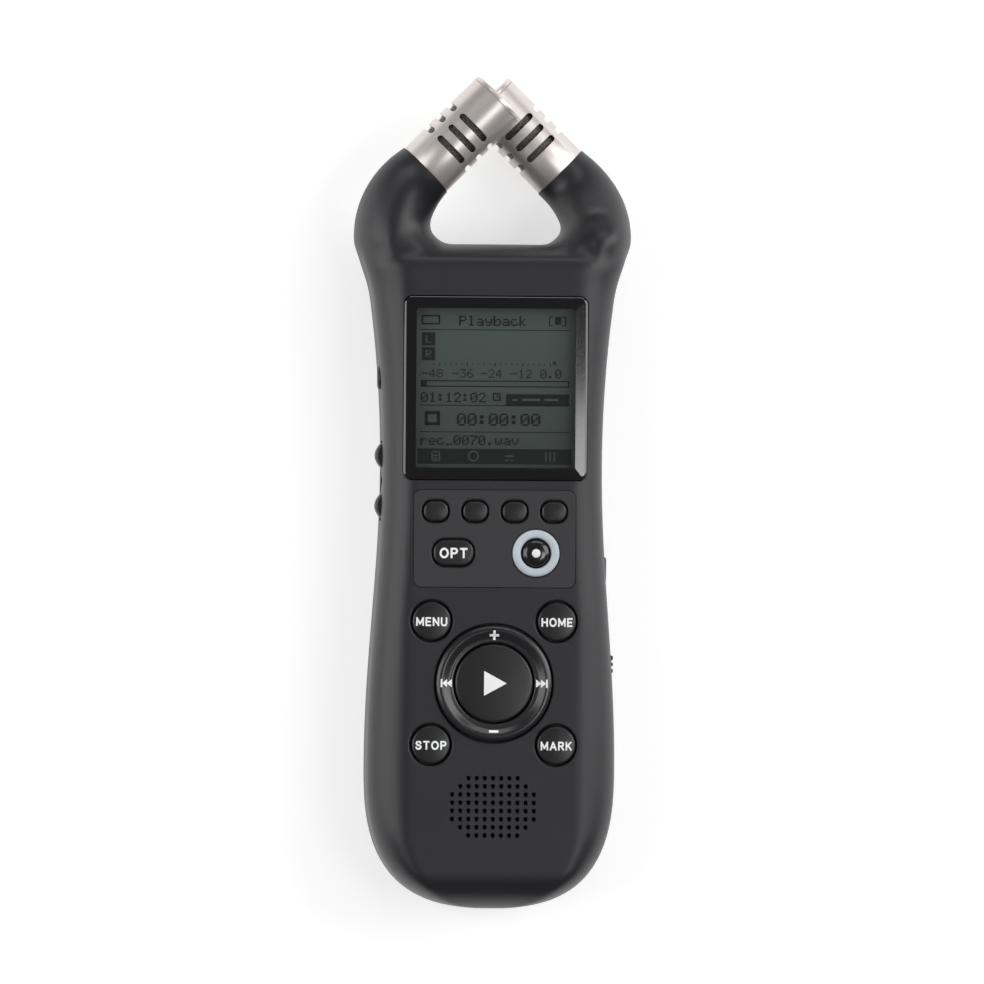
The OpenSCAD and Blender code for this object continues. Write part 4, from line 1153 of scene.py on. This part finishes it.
def cells():
    """Two wrapped cells, head to tail, with bare ends."""
    low, high = box_mm("battery_cells")
    _, y, z = middle("battery_cells")
    r, h = (high[2] - low[2]) / 2, (high[1] - low[1]) / 2
    wrap = [(r - 0.6, -h + 0.1), (r - 0.2, -h + 0.05), (r, -h + 0.4), (r, h - 1.6), (r - 0.2, h - 1.25)]
    wrap += [(r - 0.8, h - 1.2), (r - 0.8, h - 1.6), (r - 0.6, h - 2)]
    can = [(0, -h), (r - 0.7, -h), (r - 0.5, -h + 0.3), (r - 0.7, h - 1.5), (3.2, h - 1.45), (2.7, h - 1.2)]
    can += [(2.7, h - 0.25), (2.4, h), (0, h)]
    for name, profile, finish, stands_for in (
        ("cell_wraps", wrap, "cell", ["battery_cells"]),
        ("cell_cans", can, "cell_end", ()),
    ):
        pair = []
        for s in (-1, 1):
            turn = Matrix.Translation((s * CELL_X, y, z)) @ Matrix.Rotation(s * pi / 2, 4, "X")
            pair.append(placed(lathe("cell", profile, (0, 0), 64), turn))
        finished(joined(name, pair), finish, "case", stands_for, 45)


def springs():
    """Conical coil springs at the flat end of each cell."""
    z = middle("battery_springs")[2]
    ends = dict(zip((-1, 1), (corner[1] for corner in box_mm("battery_cells"))))
    turns, length, steps = 4.0, 2.1, 80
    coils = []
    for s in (-1, 1):
        points = []
        for k in range(steps + 1):
            a, r = 2 * pi * turns * k / steps, mix(2.2, 3.9, k / steps)
            y = ends[s] + s * (0.1 + length * k / steps)
            points.append(Vector((s * CELL_X + r * cos(a), y, z + r * sin(a))))
        rings = []
        for i, p in enumerate(points):
            along = (points[min(i + 1, steps)] - points[max(i - 1, 0)]).normalized()
            across = along.cross(Vector((0, 1, 0))).normalized()
            up = along.cross(across)
            rings.append([tuple(p + across * a + up * b) for a, b in circle(0.26, 8)])
        coils.append(loft("coil", rings))
    finished(joined("spring_coils", coils), "steel", "case", ["battery_springs"], 60)


battery_door()
cells()
springs()

# ---------- CAD nodes that keep their shape

CARRIED = {
    "steel": ["lcd_frame", "switch_domes", "board_screws", "rocker_pin", "usb_port", "card_socket",
              "battery_contacts", "door_hinge_pin"],
    "inner": ["nav_gimbal", "rocker_bracket", "side_switches", "battery_tray", "door_bracket"],
    "rubber": ["key_mat", "speaker_gasket"],
    "board": ["main_board"],
    "chip": ["board_components", "memory_card"],
    "speaker": ["speaker"],
    "brass": ["tripod_insert"],
    "screw": ["case_screws"],
    "capsule": ["mic_capsule_left", "mic_capsule_right"],
}
for finish, names in CARRIED.items():
    for carried in names:
        NODES[carried].data.materials.clear()
        NODES[carried].data.materials.append(M[finish])

# ---------- camera, light and floor


def camera():
    """Long lens straight above the front face, turned a few degrees towards the left side."""
    data = bpy.data.cameras.new("camera")
    distance, field = 3.0, 0.187
    data.sensor_width = 36
    data.lens = 36 * distance / field
    obj = linked("camera", data)
    yaw, roll = radians(-3.8), radians(0.4)
    target = Vector((0.00027, 0, MID_Z * MM))
    turn = Matrix.Rotation(yaw, 4, "Y") @ Matrix.Rotation(roll, 4, "Z")
    obj.matrix_world = Matrix.Translation(target) @ turn @ Matrix.Translation((0, 0, distance))
    bpy.context.scene.camera = obj


def area_light(name, at, target, size, power):
    data = bpy.data.lights.new(name, "AREA")
    data.shape = "RECTANGLE"
    data.size, data.size_y = size
    data.energy = power
    obj = linked(name, data)
    obj.location = at
    obj.rotation_mode = "QUATERNION"
    obj.rotation_quaternion = (Vector(target) - Vector(at)).to_track_quat("-Z", "Y")


def floor():
    data = bpy.data.meshes.new("floor")
    corners = [(3 * x, 3 * y, -0.0002) for x, y in ((-1, -1), (1, -1), (1, 1), (-1, 1))]
    data.from_pydata(corners, [], [(0, 1, 2, 3)])
    material, nodes, links, shader = tree_of("floor_white")
    tone = grain(nodes, links, 0.002, 2.0)
    links.new(ramp(nodes, links, tone, (0.6, 0.6, 0.6), (0.64, 0.64, 0.64)), shader.inputs["Base Color"])
    shader.inputs["Roughness"].default_value = 0.9
    shader.inputs["Specular IOR Level"].default_value = 0.1
    shader.inputs["Emission Color"].default_value = (1, 1, 1, 1)
    shader.inputs["Emission Strength"].default_value = 0.6
    data.materials.append(material)
    obj = linked("floor", data)


camera()
area_light("left_bank", (-0.8, 0.05, 0.5), (0, 0, 0.013), (0.6, 1.2), 6.0)
area_light("right_bank", (0.8, 0.25, 0.5), (0, 0.02, 0.013), (0.6, 1.1), 6.8)
area_light("rear_bank", (0.15, 0.85, 0.65), (0, 0.03, 0.013), (0.9, 0.3), 2.2)
area_light("right_strip", (0.42, -0.13, 1.1), (0, -0.13, 0.013), (0.3, 0.34), 1.7)
floor()
world = bpy.data.worlds.new("studio")
world.use_nodes = True
background = world.node_tree.nodes["Background"]
background.inputs["Color"].default_value = (1, 1, 1, 1)
background.inputs["Strength"].default_value = 0.12
bpy.context.scene.world = world
bpy.context.scene.view_settings.view_transform = "Standard"
